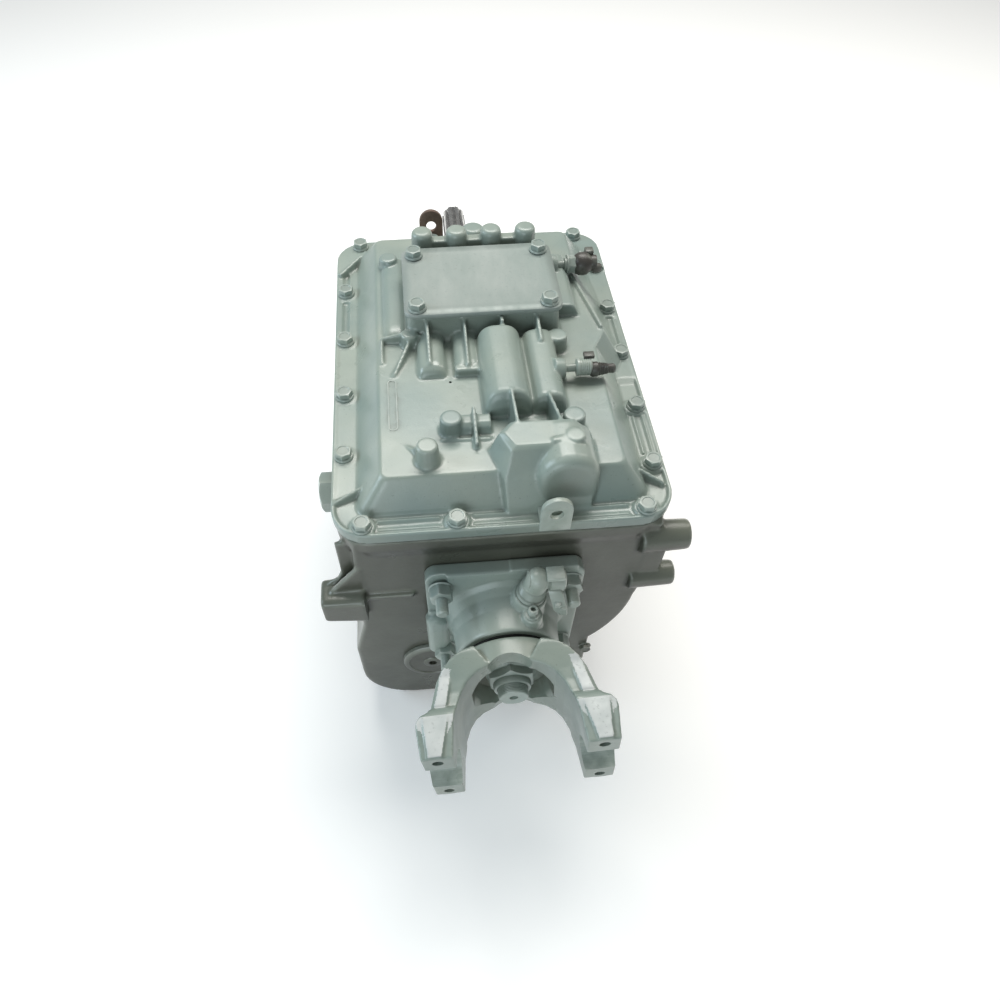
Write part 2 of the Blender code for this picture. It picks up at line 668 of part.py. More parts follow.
def input_shaft():
    centre = (0, MAIN_Z)
    profile = [(DOG_R, 406), (DOG_R, 413), (34, 414), (34, 446), (28, 447), (28, 470), (22, 472), (22, 652),
               (16.5, 660), (16.5, INPUT_TIP_Y - 3), (14, INPUT_TIP_Y)]
    shaft = turned(profile, "Y", centre, 20)
    splines = []
    for tooth in range(10):
        middle = 2 * pi * tooth / 10
        for offset, radius in ((-0.2, 16), (-0.14, 19), (0.14, 19), (0.2, 16)):
            splines.append((radius * cos(middle + offset), MAIN_Z + radius * sin(middle + offset)))
    add(shaft, prism(splines, 665, INPUT_TIP_Y - 4, "Y"))
    add(shaft, toothed(INPUT_TEETH, UP + pi + pi / INPUT_TEETH, *INPUT_GEAR_Y, centre))
    cut(shaft, prism(circle(13, 16, centre), 400, 424, "Y"))
    return place(shaft, "input_shaft", "steel", (0, 0, MAIN_Z))


def main_shaft():
    """Output shaft with its four synchroniser hubs, the yoke's seat at the rear and the pilot in the input shaft."""
    profile = [(15.5, SHAFT_END_Y), (16, SHAFT_END_Y + 2), (16, -95.5), (24, -94), (24, -56), (30, -54), (30, 14),
               (MAIN_SHAFT_R, 15)]
    for _, middle, _ in SLEEVES:
        half = SLEEVE_WIDTH / 2 - 1
        profile += [(MAIN_SHAFT_R, middle - half), (DOG_R, middle - half), (DOG_R, middle + half)]
        profile += [(MAIN_SHAFT_R, middle + half)]
    profile += [(MAIN_SHAFT_R, 404), (12, 405), (12, 422)]
    return place(turned(profile, "Y", (0, MAIN_Z), 20), "main_shaft", "steel", (0, 0, MAIN_Z))


def sleeves():
    for name, middle, _ in SLEEVES:
        inner, outer = SLEEVE_R
        low, high = middle - SLEEVE_WIDTH / 2, middle + SLEEVE_WIDTH / 2
        groove_low, groove_high = middle - GROOVE_WIDTH / 2, middle + GROOVE_WIDTH / 2
        profile = [(inner, low), (outer, low), (outer, groove_low), (GROOVE_R, groove_low), (GROOVE_R, groove_high),
                   (outer, groove_high), (outer, high), (inner, high)]
        place(turned(profile, "Y", (0, MAIN_Z), 24, closed=True), name, "gear_steel", (0, 0, MAIN_Z))


def shift_rails():
    """Each rail carries the fork that rides in its own sleeve's groove."""
    for name, middle, number in SLEEVES:
        x = RAIL_X[number]
        rail = prism(circle(RAIL_R, 10, (x, RAIL_Z)), *RAIL_Y, axis="Y")
        arch = arc((0, MAIN_Z), GROOVE_R + RUNNING_GAP, 0, 180, 12) + arc((0, MAIN_Z), 66, 180, 0, 12)
        low, high = middle - 4, middle + 4
        lean = 8 if abs(x) > 40 else 10
        leg_foot = MAIN_Z + sqrt(64**2 - min(abs(x) + 2, 60) ** 2) - 12
        leg = prism(((x - lean, RAIL_Z), (x + lean, RAIL_Z), (x * 0.9 + 8, leg_foot + 9), (x * 0.9 - 8, leg_foot + 9)),
                    low + 0.1, high - 0.1, "Y")
        fork = add(prism(arch, low, high, "Y"), leg)
        hub = prism(circle(RAIL_R + 5, 10, (x, RAIL_Z)), low - 1, high + 1, "Y")
        add(rail, fork, hub)
        place(rail, name.replace("_sleeve", "_shift_rail"), "gear_steel")


def switches():
    """Two switches screwed into the cover's right side, lying along X."""
    reverse = [(4.5, 92), (4.5, 104), (7, 105), (7, 116), (11, 117), (12.5, 122), (12.5, 130), (9, 134), (9, 141)]
    place(turned(reverse, "X", (331, 47), 12), "reverse_lamp_switch", "enamel")
    neutral = [(4, 76.5), (4, 89), (8.5, 90), (8.5, 105), (6.5, 106), (6.5, 116), (9, 117), (9, 130), (5, 134)]
    place(turned(neutral, "X", (155, 45), 12), "neutral_switch", "enamel")


clear_scene()
MATERIALS = {name: make_material(name) for name in COLOURS}
ROOT = bpy.data.objects.new("transmission_frame", None)
ROOT.location = Vector((FRAME_X, -FRAME_Y, -CASE_BOTTOM_Z)) * MM
bpy.context.scene.collection.objects.link(ROOT)

main_case()
cover_gasket()
top_cover()
access_plate()
cover_bolts()
pto_covers()
plugs()
lifting_eyes()
rear_bearing_cover()
rear_seal()
rear_studs()
speed_sensor()
output_yoke()
yoke_nut()
front_retainer()
countershaft_covers()
bearings()
free_gears()
reverse_idler()
countershaft()
input_shaft()
main_shaft()
sleeves()
shift_rails()
switches()
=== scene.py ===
"""Looks of the gearbox: soft-edged iron castings, worn grey-green enamel, machined steel and rubber.

Every form is written in the part's own design axes, in millimetres: X to the right seen from the output
end, Y towards the input end, Z up, with Y = 0 on the rear row of cover bolts and Z = 0 on the top of the
cover's flange. ORIGIN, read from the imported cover, puts those axes into the row frame.
"""

from math import atan2, cos, pi, radians, sin

import bmesh
import bpy
from mathutils import Matrix, Vector


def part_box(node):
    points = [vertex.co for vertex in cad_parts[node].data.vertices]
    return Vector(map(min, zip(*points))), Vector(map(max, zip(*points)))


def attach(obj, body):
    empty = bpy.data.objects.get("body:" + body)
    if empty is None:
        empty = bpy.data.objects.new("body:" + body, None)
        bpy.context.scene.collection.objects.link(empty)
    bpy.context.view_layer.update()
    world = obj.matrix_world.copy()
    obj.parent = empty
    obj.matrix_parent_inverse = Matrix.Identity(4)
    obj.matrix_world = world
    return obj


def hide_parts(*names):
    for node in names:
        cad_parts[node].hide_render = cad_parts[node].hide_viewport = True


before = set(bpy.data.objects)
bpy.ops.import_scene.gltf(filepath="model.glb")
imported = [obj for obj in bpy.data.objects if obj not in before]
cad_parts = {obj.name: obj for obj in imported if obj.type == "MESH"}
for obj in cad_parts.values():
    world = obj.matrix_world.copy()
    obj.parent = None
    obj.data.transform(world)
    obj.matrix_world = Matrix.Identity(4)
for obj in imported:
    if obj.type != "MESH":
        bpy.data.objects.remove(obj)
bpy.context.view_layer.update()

MM = 0.001
COVER_REAR_Y = -12.5
COVER_BOTTOM_Z = -13  # the cross walls inside the cover reach 1 mm under its flange
COVER_LOW, COVER_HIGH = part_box("top_cover")
ORIGIN = Vector((
    (COVER_LOW.x + COVER_HIGH.x) / 2,
    COVER_LOW.y - COVER_REAR_Y * MM,
    COVER_LOW.z - COVER_BOTTOM_Z * MM,
))

# Places shared with the CAD part
MAIN_Z = -143
COUNTER = (-85, -266.59)
IDLER = (-3.89, -289.8)
DECK_Z = 32
CASE_TOP_Z = -14.2
RAIL_X = (-60, -20, 20, 60)
LEFT_BOSS = (-4, -119)
RIGHT_BOSSES = ((-2, -45), (-2, -115))
BOSS_END_X = 191.4
LEFT_BOSS_END_X = -197.4
SENSOR = (22, -41)
BOLT_X = 157.5
COLUMN_BOLTS = {"left": (94, 183, 275, 366), "right": (57, 140, 226, 309, 392)}
ROW_BOLTS = ((-139, 0, 0), (-47, 0, 0), (139, 0, 0), (-139, 457, 4), (46, 457, 0), (139, 457, 4))
EYE_BOLTS = ((46, 0, 4.8), (-46, 457, 4.8))
PLATE_BOLTS = ((-71, 235), (71, 235), (-71, 330), (71, 330))
PLATE_TOP_Z = 67.5
YOKE_TILT = radians(5.4)


# ---- outlines: lists of (u, v) in millimetres ----


def arc(centre, radius, start, end, steps):
    """Points from one angle to another, in degrees, both ends included."""
    angles = [radians(start + (end - start) * i / steps) for i in range(steps + 1)]
    return [(centre[0] + radius * cos(a), centre[1] + radius * sin(a)) for a in angles]


def circle(radius, sides=48, centre=(0, 0), phase=0.0):
    turns = [phase + 2 * pi * i / sides for i in range(sides)]
    return [(centre[0] + radius * cos(a), centre[1] + radius * sin(a)) for a in turns]


def rounded_box(low, high, radius, steps=8):
    corners = (
        ((high[0] - radius, high[1] - radius), 0),
        ((low[0] + radius, high[1] - radius), 90),
        ((low[0] + radius, low[1] + radius), 180),
        ((high[0] - radius, low[1] + radius), 270),
    )
    return [point for centre, start in corners for point in arc(centre, radius, start, start + 90, steps)]


def flange_outline(grow=0.0):
    return rounded_box((-169.8 - grow, -12.3 - grow), (169.8 + grow, 469.3 + grow), 38 + grow, 12)


# ---- solids, in the row frame ----


def on_axis(u, v, along, axis):
    """A point whose outline coordinates are u, v and whose distance along the axis is along."""
    return {"X": (along, u, v), "Y": (u, along, v), "Z": (u, v, along)}[axis]


def loft(rings, closed=False):
    """One solid through rings of points: capped at both ends, or joined end to end when closed."""
    build = bmesh.new()
    rows = [[build.verts.new(ORIGIN + Vector(point) * MM) for point in ring] for ring in rings]
    count = len(rows[0])
    pairs = list(zip(rows, rows[1:] + rows[:1])) if closed else list(zip(rows, rows[1:]))
    for lower, upper in pairs:
        for i in range(count):
            j = (i + 1) % count
            build.faces.new((lower[i], lower[j], upper[j], upper[i]))
    if not closed:
        build.faces.new(rows[0])
        build.faces.new(rows[-1])
    bmesh.ops.recalc_face_normals(build, faces=build.faces)
    mesh = bpy.data.meshes.new("solid")
    build.to_mesh(mesh)
    build.free()
    item = bpy.data.objects.new("solid", mesh)
    bpy.context.scene.collection.objects.link(item)
    return item


def prism(outline, low, high, axis="Z"):
    return loft([[on_axis(u, v, level, axis) for u, v in outline] for level in (low, high)])


def block(low, high):
    outline = ((low[0], low[1]), (high[0], low[1]), (high[0], high[1]), (low[0], high[1]))
    return prism(outline, low[2], high[2])


def turned(profile, axis="Y", centre=(0, MAIN_Z), sides=64, closed=False):
    """A turned solid; profile lists (radius, distance along the axis), all radii above zero."""
    rings = [[on_axis(u, v, along, axis) for u, v in circle(radius, sides, centre)] for radius,
        along in profile]
    return loft(rings, closed)


def tube(outline, inner, low, high, axis="Z"):
    """A wall between two outlines that have the same number of points."""
    rings = [[on_axis(u, v, z, axis) for u, v in ring] for ring, z in
             ((inner, low), (outline, low), (outline, high), (inner, high))]
    return loft(rings, closed=True)


def web(start, end, tops, base, width):
    """An upright rib between two places in plan, with its own height at each end and a little draft."""
    a, b = Vector(start), Vector(end)
    side = (b - a).orthogonal().normalized() * width / 2
    rings = []
    for point, top in ((a, tops[0]), (b, tops[1])):
        corners = ((1.25, base), (-1.25, base), (-0.75, top), (0.75, top))
        rings.append([(*(point + side * k), z) for k, z in corners])
    return loft(rings)


def round_boss(x, y, radius, top, base=DECK_Z - 4, flare=1.5, crown=3):
    """An upright round boss, a little wider at its foot, with a softened top edge."""
    profile = [(radius + flare, base), (radius, top - crown)]
    profile += [(radius - crown * (1 - cos(radians(a))), top - crown * (1 - sin(radians(a))))
        for a in (30, 60, 90)]
    return turned(profile, "Z", (x, y), 40)


def hump(x, half, y_rear, y_front, top, nose=12, tail=0):
    """A rounded tunnel fore and aft: a sloped nose and, given a tail, a rounded front end."""
    rings, base = [], DECK_Z - 4
    stations = [(y_rear, 0.5), (y_rear + nose * 0.25, 0.78), (y_rear + nose * 0.6, 0.95), (y_rear + nose, 1)]
    stations += [(y_front, 1)] if not tail else [(y_front - tail, 1), (y_front - tail * 0.35, 0.9),
        (y_front, 0.55)]
    for y, share in stations:
        height, wide = (top - base) * share, half * (0.8 + 0.2 * share)
        ring = []
        for step in range(21):
            a = pi * step / 20
            bow = abs(cos(a)) ** 0.7 * (1 if cos(a) >= 0 else -1)
            ring.append((x + wide * bow, y, base + height * sin(a) ** 0.75))
        rings.append(ring)
    return loft(rings)


def change(base, others, operation, solver="MANIFOLD"):
    """Applies one Boolean for each of the others, which are then removed."""
    for other in others:
        modifier = base.modifiers.new("step", "BOOLEAN")
        modifier.solver = solver
        modifier.operation = operation
        modifier.object = other
    applied(base)
    for other in others:
        bpy.data.objects.remove(other, do_unlink=True)
    return base


def add(base, *others):
    return change(base, others, "UNION")


def cut(base, *others):
    return change(base, others, "DIFFERENCE")


def applied(item):
    bpy.context.view_layer.update()
    graph = bpy.context.evaluated_depsgraph_get()
    mesh = bpy.data.meshes.new_from_object(item.evaluated_get(graph))
    item.modifiers.clear()
    item.data = mesh
    return item


def joined(items):
    """The meshes of all the items in the first of them, still as separate shells."""
    first = items[0]
    build = bmesh.new()
    for item in items:
        build.from_mesh(item.data)
    mesh = bpy.data.meshes.new("joined")
    build.to_mesh(mesh)
    build.free()
    first.data = mesh
    for item in items[1:]:
        bpy.data.objects.remove(item, do_unlink=True)
    return first


def cast(items, voxel, rounds, keep):
    """Melts overlapping solids into one casting with soft edges and fillets, then thins its mesh."""
    body = joined(items)
    melt = body.modifiers.new("melt", "REMESH")
    melt.mode = "VOXEL"
    melt.voxel_size = voxel * MM
    soften = body.modifiers.new("soften", "SMOOTH")
    soften.factor = 0.5
    soften.iterations = rounds
    thin = body.modifiers.new("thin", "DECIMATE")
    thin.ratio = keep
    return applied(body)


def bevelled(item, width, segments=2, angle=40):
    edge = item.modifiers.new("edge", "BEVEL")
    edge.width = width * MM
    edge.segments = segments
    edge.limit_method = "ANGLE"
    edge.angle_limit = radians(angle)
    return applied(item)


def show(item, name, body, material, slot, *replaced, sharp=38):
    """Names a finished piece, gives it its material and body, and hides the CAD nodes it replaces; slot is
    not used.
    """
    item.name = name
    item.data.name = name
    item.data.materials.clear()
    item.data.materials.append(material)
    item.data.shade_smooth()
    item.data.set_sharp_from_angle(angle=radians(sharp))
    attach(item, body)
    if replaced:
        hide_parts(*replaced)
    return item


# ---- materials ----


class Finish:
    """One procedural material, with helpers that add its nodes. Texture scales are in cycles per metre."""

    def __init__(self, name, metallic=0.0, **constants):
        self.material = bpy.data.materials.new(name)
        self.material.use_nodes = True
        self.tree = self.material.node_tree
        self.shader = self.tree.nodes["Principled BSDF"]
        self.shader.inputs["Metallic"].default_value = metallic
        for socket, value in constants.items():
            self.shader.inputs[socket.replace("_", " ")].default_value = value
        self.place = self.tree.nodes.new("ShaderNodeTexCoord").outputs["Object"]

    def node(self, kind, settings=(), **inputs):
        made = self.tree.nodes.new(kind)
        for key, value in dict(settings).items():
            setattr(made, key, value)
        for key, value in inputs.items():
            self.feed(made.inputs[key.replace("_", " ")], value)
        return made

    def feed(self, socket, value):
        if isinstance(value, bpy.types.NodeSocket):
            self.tree.links.new(value, socket)
        else:
            socket.default_value = value

    def noise(self, scale, detail=3.0, roughness=0.5, stretch=(1, 1, 1)):
        vector = self.node("ShaderNodeMapping", Vector=self.place, Scale=stretch).outputs["Vector"]
        made = self.node("ShaderNodeTexNoise", Vector=vector, Scale=scale, Detail=detail, Roughness=roughness)
        return made.outputs["Fac"]

    def spread(self, value, low, high, to_low=0.0, to_high=1.0):
        made = self.node("ShaderNodeMapRange", Value=value, From_Min=low, From_Max=high, To_Min=to_low,
            To_Max=to_high)
        return made.outputs["Result"]

    def times(self, a, b):
        made = self.node("ShaderNodeMath", {"operation": "MULTIPLY"})
        self.feed(made.inputs[0], a)
        self.feed(made.inputs[1], b)
        return made.outputs["Value"]

    def mix(self, factor, a, b, blend="MIX"):
        made = self.tree.nodes.new("ShaderNodeMix")
        made.data_type = "RGBA"
        made.blend_type = blend
        self.feed(made.inputs["Factor"], factor)
        for socket, colour in ((made.inputs[6], a), (made.inputs[7], b)):
            self.feed(socket, (*colour, 1) if isinstance(colour, tuple) else colour)
        return made.outputs[2]

    def edges(self):
        """How convex the surface is: near 0.5 on flats, higher on edges and lower in corners."""
        return self.node("ShaderNodeNewGeometry").outputs["Pointiness"]

    def facing(self, axis):
        """The surface normal's share along one axis of the object."""
        normal = self.node("ShaderNodeTexCoord").outputs["Normal"]
        return self.node("ShaderNodeSeparateXYZ", Vector=normal).outputs[axis]

    def bump(self, height, strength, distance):
        under = self.shader.inputs["Normal"]
        last = under.links[0].from_socket if under.is_linked else None
        made = self.node("ShaderNodeBump", Strength=strength, Distance=distance * MM, Height=height)
        if last:
            self.tree.links.new(last, made.inputs["Normal"])
        self.tree.links.new(made.outputs["Normal"], under)

    def done(self, colour, roughness):
        self.feed(self.shader.inputs["Base Color"], (*colour, 1) if isinstance(colour, tuple) else colour)
        self.feed(self.shader.inputs["Roughness"], roughness)
        return self.material


def enamel(name, light, dark, dirt_and_shade, shade=0.0, coarse=1.0):
    """Thick enamel over cast iron: cloudy colour and dark dirt specks, with painted shade in corners, painted
    highlights on edges and, given shade, painted shade on steep and downward faces.
    """
    finish = Finish(name, Coat_Weight=0.25, Coat_Roughness=0.22, Specular_IOR_Level=0.55)
    clouds = finish.spread(finish.noise(9, 3), 0.36, 0.64)
    colour = finish.mix(clouds, dark, light)
    specks = finish.spread(finish.noise(420, 2), 0.66, 0.74, 0.0, 0.30)
    colour = finish.mix(specks, colour, dirt_and_shade)
    # Painted shade: concave corners and fillets are darkened towards the dark third colour, broken up by
    # noise.
    painted_corner_shade = finish.times(finish.spread(finish.edges(), 0.495, 0.44),
        finish.spread(finish.noise(60), 0.3, 0.6, 0.3, 0.75))
    colour = finish.mix(painted_corner_shade, colour, dirt_and_shade)
    # Painted highlight: convex edges are lightened towards a pale grey-green, broken up by noise.
    painted_edge_highlight = finish.times(finish.spread(finish.edges(), 0.52, 0.60),
        finish.spread(finish.noise(80), 0.35, 0.6, 0.1, 0.6))
    colour = finish.mix(painted_edge_highlight, colour, (0.50, 0.54, 0.50))
    # Painted shade: faces turned from up, from steep to downward, are darkened by up to the share shade
    # towards a deep tone of the third colour.
    if shade:
        painted_side_shade = finish.spread(finish.facing("Z"), 0.35, -0.15, 0.0, shade)
        colour = finish.mix(painted_side_shade, colour, tuple(0.42 * c for c in dirt_and_shade))
    finish.bump(finish.noise(130 / coarse, 4, 0.55), 0.45, 0.45 * coarse)
    finish.bump(finish.noise(620, 2), 0.30, 0.14)
    return finish.done(colour, finish.spread(finish.noise(26, 3), 0.3, 0.7, 0.26, 0.46))


def worn_metal(name, light, dark, metallic, rough, grain=(1, 1, 1), specks=0.4):
    """Bare or thinly painted metal: fine grain, blotches and small dark specks."""
    finish = Finish(name, metallic)
    blotch = finish.spread(finish.noise(22, 4, 0.6, grain), 0.35, 0.65)
    colour = finish.mix(blotch, dark, light)
    pits = finish.spread(finish.noise(300, 3, 0.6), 0.60, 0.72, 0.0, specks)
    colour = finish.mix(pits, colour, tuple(0.35 * c for c in dark))
    finish.bump(finish.noise(260, 3, 0.6, grain), 0.25, 0.12)
    finish.bump(finish.noise(1200, 2, 0.5, grain), 0.12, 0.05)
    return finish.done(colour, finish.spread(finish.noise(90, 3, 0.5, grain), 0.3, 0.7, *rough))


def turned_steel(name, light, dark, rough):
    """Machined steel with fine rings round the shaft's axis, Y, and a thin film of oil."""
    finish = Finish(name, 1.0)
    rings = finish.noise(60, 2, 0.5, (0.4, 30, 0.4))
    colour = finish.mix(finish.spread(rings, 0.35, 0.65), dark, light)
    stain = finish.spread(finish.noise(45, 4, 0.6), 0.55, 0.72, 0.0, 0.5)
    colour = finish.mix(stain, colour, tuple(0.5 * c for c in dark))
    finish.bump(rings, 0.12, 0.03)
    return finish.done(colour, finish.spread(finish.noise(80, 3), 0.3, 0.7, *rough))


def moulded(name, colour, pale, rough):
    """Rubber, fibre or moulded plastic: matt, slightly grained, with paler dusty patches at random."""
    finish = Finish(name)
    tone = finish.mix(finish.spread(finish.noise(70, 4, 0.6), 0.45, 0.75, 0.0, 0.6), colour, pale)
    finish.bump(finish.noise(900, 2), 0.3, 0.06)
    finish.bump(finish.noise(150, 3), 0.2, 0.15)
    return finish.done(tone, finish.spread(finish.noise(120, 2), 0.3, 0.7, *rough))


# In each enamel, the number after the three colours is its share of painted shade on faces turned from up.
PAINT = enamel("enamel_cover", (0.290, 0.338, 0.292), (0.222, 0.285, 0.262), (0.095, 0.110, 0.092), 0.4)
# The case wears the same grey-green enamel as the cover, painted darker and browner here as painted shade,
# with strong painted shade on its steep sides; the parts bolted to it share this paint.
SHADED_CASE_PAINT = enamel("enamel_case_shaded", (0.150, 0.162, 0.128), (0.098, 0.110, 0.086), (0.038, 0.034, 0.022), 0.8,
    1.6)
TRIM_PAINT = enamel("enamel_trim", (0.300, 0.345, 0.300), (0.232, 0.292, 0.268), (0.080, 0.092, 0.075),
    coarse=0.5)
YOKE_PAINT = enamel("enamel_yoke", (0.255, 0.292, 0.248), (0.180, 0.228, 0.202), (0.085, 0.080, 0.060), 0.2,
    0.8)
PLATE_PAINT = worn_metal("plate_silvery", (0.300, 0.335, 0.315), (0.225, 0.270, 0.250), 0.15, (0.38, 0.56),
                         (1, 0.35, 1), 0.25)
WORN_PAINT = worn_metal("worn_pads", (0.50, 0.52, 0.51), (0.38, 0.41, 0.40), 0.15, (0.42, 0.60))
BARE_IRON = worn_metal("bare_iron", (0.20, 0.135, 0.105), (0.10, 0.07, 0.055), 0.35, (0.5, 0.75))
STEEL = turned_steel("polished_steel", (0.70, 0.69, 0.67), (0.48, 0.47, 0.46), (0.14, 0.30))
GEAR_STEEL = turned_steel("oiled_gear_steel", (0.42, 0.42, 0.43), (0.26, 0.26, 0.27), (0.22, 0.42))
RUBBER = moulded("seal_rubber", (0.018, 0.018, 0.017), (0.05, 0.05, 0.045), (0.45, 0.65))
GASKET = moulded("gasket_fibre", (0.10, 0.11, 0.10), (0.22, 0.23, 0.21), (0.7, 0.9))
CONNECTOR = moulded("connector_plastic", (0.050, 0.046, 0.040), (0.20, 0.22, 0.19), (0.32, 0.55))


# ---- cover ----


def slope_step(x0, x1):
    """The flange's right side, three millimetres higher in front of a short ramp."""
    return prism([(172, -5), (187, 0), (442, 0), (442, -5)], x0, x1, "X")


def pocket_ribs(x, y0, y1, top):
    """Two thin raised lines along the flange between bolts."""
    return [web((x + side, y0), (x + side, y1), (top, top), -6, 2.2) for side in (-5, 5)]


def cover_flange():
    slab = prism(flange_outline(), -12, -3)
    rim = tube(flange_outline(), flange_outline(-3.6), -12, 0.5)
    left = prism([(-168, 31), (-122, 54), (-122, 445), (-168, 445)], -12, -0.6)
    gussets = [web((-124, 51), (-167, 31), (11, 1.5), -6, 4), web((-132, 438), (-165, 400), (11, 5), -6, 4)]
    cut(left, *(prism(rounded_box((-165.2, y0), (-150, y1), 6), -3.6, 4) for y0,
        y1 in ((290, 351), (381, 440))))
    shelf_points = [(-169, 401)] + arc((-132, 431.5), 37.2, 180, 90, 8) + [(-110, 468.6), (-110, 437),
        (-133, 437)]
    left_shelf = prism(shelf_points, -12, 4)
    right_points = [(169, 385)] + arc((132, 431.5), 37.2, 0, 90, 8) + [(110, 468.6), (110, 436), (138, 433)]
    right_shelf = prism(right_points, -12, 4)
    front = prism(((-132, 440), (132, 440), (132, 469), (-132, 469)), -12, 0)
    right = slope_step(118, 169.7)
    cut(right, prism(rounded_box((150, 240), (165.2, 295), 6), -3.6, 4))
    items = [slab, rim, left, left_shelf, right_shelf, front, right, *gussets]
    items += pocket_ribs(157, 72, 126, -0.4) + pocket_ribs(157, 243, 292, -0.2)
    items += pocket_ribs(-158, 293, 348, -0.2) + pocket_ribs(-158, 384, 436, -0.2)
    for x0, x1 in ((-124, -64), (-31, 27), (62, 122)):
        items += [web((x0, y), (x1, y), (top, top), -6, 2.2) for y, top in ((6, -0.5), (-4, -1.2))]
    items.append(web((126, 53), (163, 28), (12, 3), -6, 4))
    seats = [(side * BOLT_X, y, 0.15) for side,
        rows in ((-1, COLUMN_BOLTS["left"]), (1, COLUMN_BOLTS["right"]))
             for y in rows]
    for x, y, top in seats + list(ROW_BOLTS):
        items.append(round_boss(x, y if y else 0.6, 12.2, top + 0.15, -11, 0.4, 0.8))
    return items


def cover_pan():
    rings = []
    for (x0, x1, y0, y1), z, radius in (((-145, 146, 12, 446), -4, 14), ((-141.5, 143, 14.5, 443), 2, 12),
                                        ((-119.5, 121.5, 30, 427), 30, 9),
                                            ((-117, 119, 32, 424.5), DECK_Z, 9)):
        rings.append([(u, v, z) for u, v in rounded_box((x0, y0), (x1, y1), radius)])
    buttress = loft([
        [(100, 190, -4), (151, 196, -4), (160, 215, -4), (156, 257, -4), (155, 321, -4), (149, 385, -4),
            (100, 395, -4)],
        [(100, 196, DECK_Z), (118, 199, DECK_Z), (134, 229, DECK_Z), (126, 267, DECK_Z), (119, 304, DECK_Z),
         (112, 345, DECK_Z), (100, 360, DECK_Z)],
    ])
    ridge = [web(a, b, (DECK_Z + 3.5, DECK_Z + 3.5), DECK_Z - 6, 5) for a, b in
             (((111, 348), (119, 304)), ((119, 304), (126, 267)), ((126, 267), (132, 233)))]
    return [loft(rings), buttress, *ridge]


def plate_box():
    rings = []
    for (x, y0, y1), z in (((88, 222, 350), DECK_Z - 4), ((84, 226, 345), DECK_Z + 5),
        ((82, 227, 343.5), 62)):
        rings.append([(u, v, z) for u, v in rounded_box((-x, y0), (x, y1), 10)])
    ledge = prism([(78, DECK_Z - 4), (78, 47), (101, 46), (105, 43), (113, DECK_Z - 4)], 257, 356, "Y")
    spine = hump(-97, 14, 232, 374, 39, 16)
    return [loft(rings), ledge, spine, round_boss(-102, 369, 10.5, 44, crown=2)]


def detent_row():
    items = [round_boss(x, 364, 12.2, 77, flare=1.2, crown=5) for x in RAIL_X]
    items.append(prism(rounded_box((-66, 359), (66, 371), 5), DECK_Z - 4, 66))
    items.append(round_boss(2, 396, 14, 60, flare=4, crown=6))
    items += [web((x, 372), (x, 404), (60, 40), DECK_Z - 4, 8) for x in RAIL_X]
    return items


def selector_humps():
    """The tunnels over the selector shafts, with the thin fins that stiffen them against the access box."""
    items = [hump(-60, 15.5, 166, 240, 44), hump(-22, 15, 168, 240, 43), hump(13.5, 24.5, 103, 216, 61, 9, 7)]
    items += [hump(56, 18.5, 105, 217, 52, 9, 7), prism(rounded_box((-36, 166), (0, 176), 3), DECK_Z - 4, 41)]
    for x, foot_y, foot_z in ((-62, 174, 45), (-22, 171, 44), (18, 214, 63), (57, 190, 55)):
        items.append(web((x, 230), (x, foot_y), (60, foot_z), DECK_Z - 4, 4.4))
    items.append(web((16, 112), (17, 66), (61.5, 60), DECK_Z - 4, 4.2))
    items.append(web((54, 112), (59, 66), (53, 59.5), DECK_Z - 4, 4.2))
    items.append(loft([[(u, v, z) for u, v in rounded_box((-8 + k, 208 + k), (9 - k, 222), 1.5, 3)] for k,
        z in
                       ((0, DECK_Z - 4), (2, 40))]))
    return items


def rear_housing():
    """The box and the arched hood over the rear end of the selector, which reach down to the flange."""
    levels = (
        (59.6, [(2, 54), (13, 67), (70, 66), (77, 50), (76, 36), (12, 36)]),
        (56, [(-3, 56), (10, 70), (73, 69), (80, 51), (79, 33), (7, 32)]),
        (DECK_Z, [(-12, 58), (6, 77), (76, 76), (84, 52), (84, 16), (0, 18)]),
        (-3, [(-13, 58), (5, 78), (77, 77), (86, 52), (86, 5), (3, 4)]),
    )
    box = loft([[(x, y, z) for x, y in points] for z, points in levels])
    arches = []
    for y, share in ((9.5, 0.72), (11, 0.86), (14, 0.95), (19, 1), (62, 1)):
        arch = [(61 + 30.5 * share * cos(radians(a)), y, 31 + 31 * share * sin(radians(a)))
            for a in range(0, 181, 12)]
        arches.append(arch + [(61 - 30.5 * share, y, -4), (61 + 30.5 * share, y, -4)])
    badge = [round_boss(69, 43, 9, 63.2, 50, 0.5, 1.2), web((46, 39), (66, 42), (61.8, 62.2), 50, 6)]
    return [box, loft(arches), *badge]


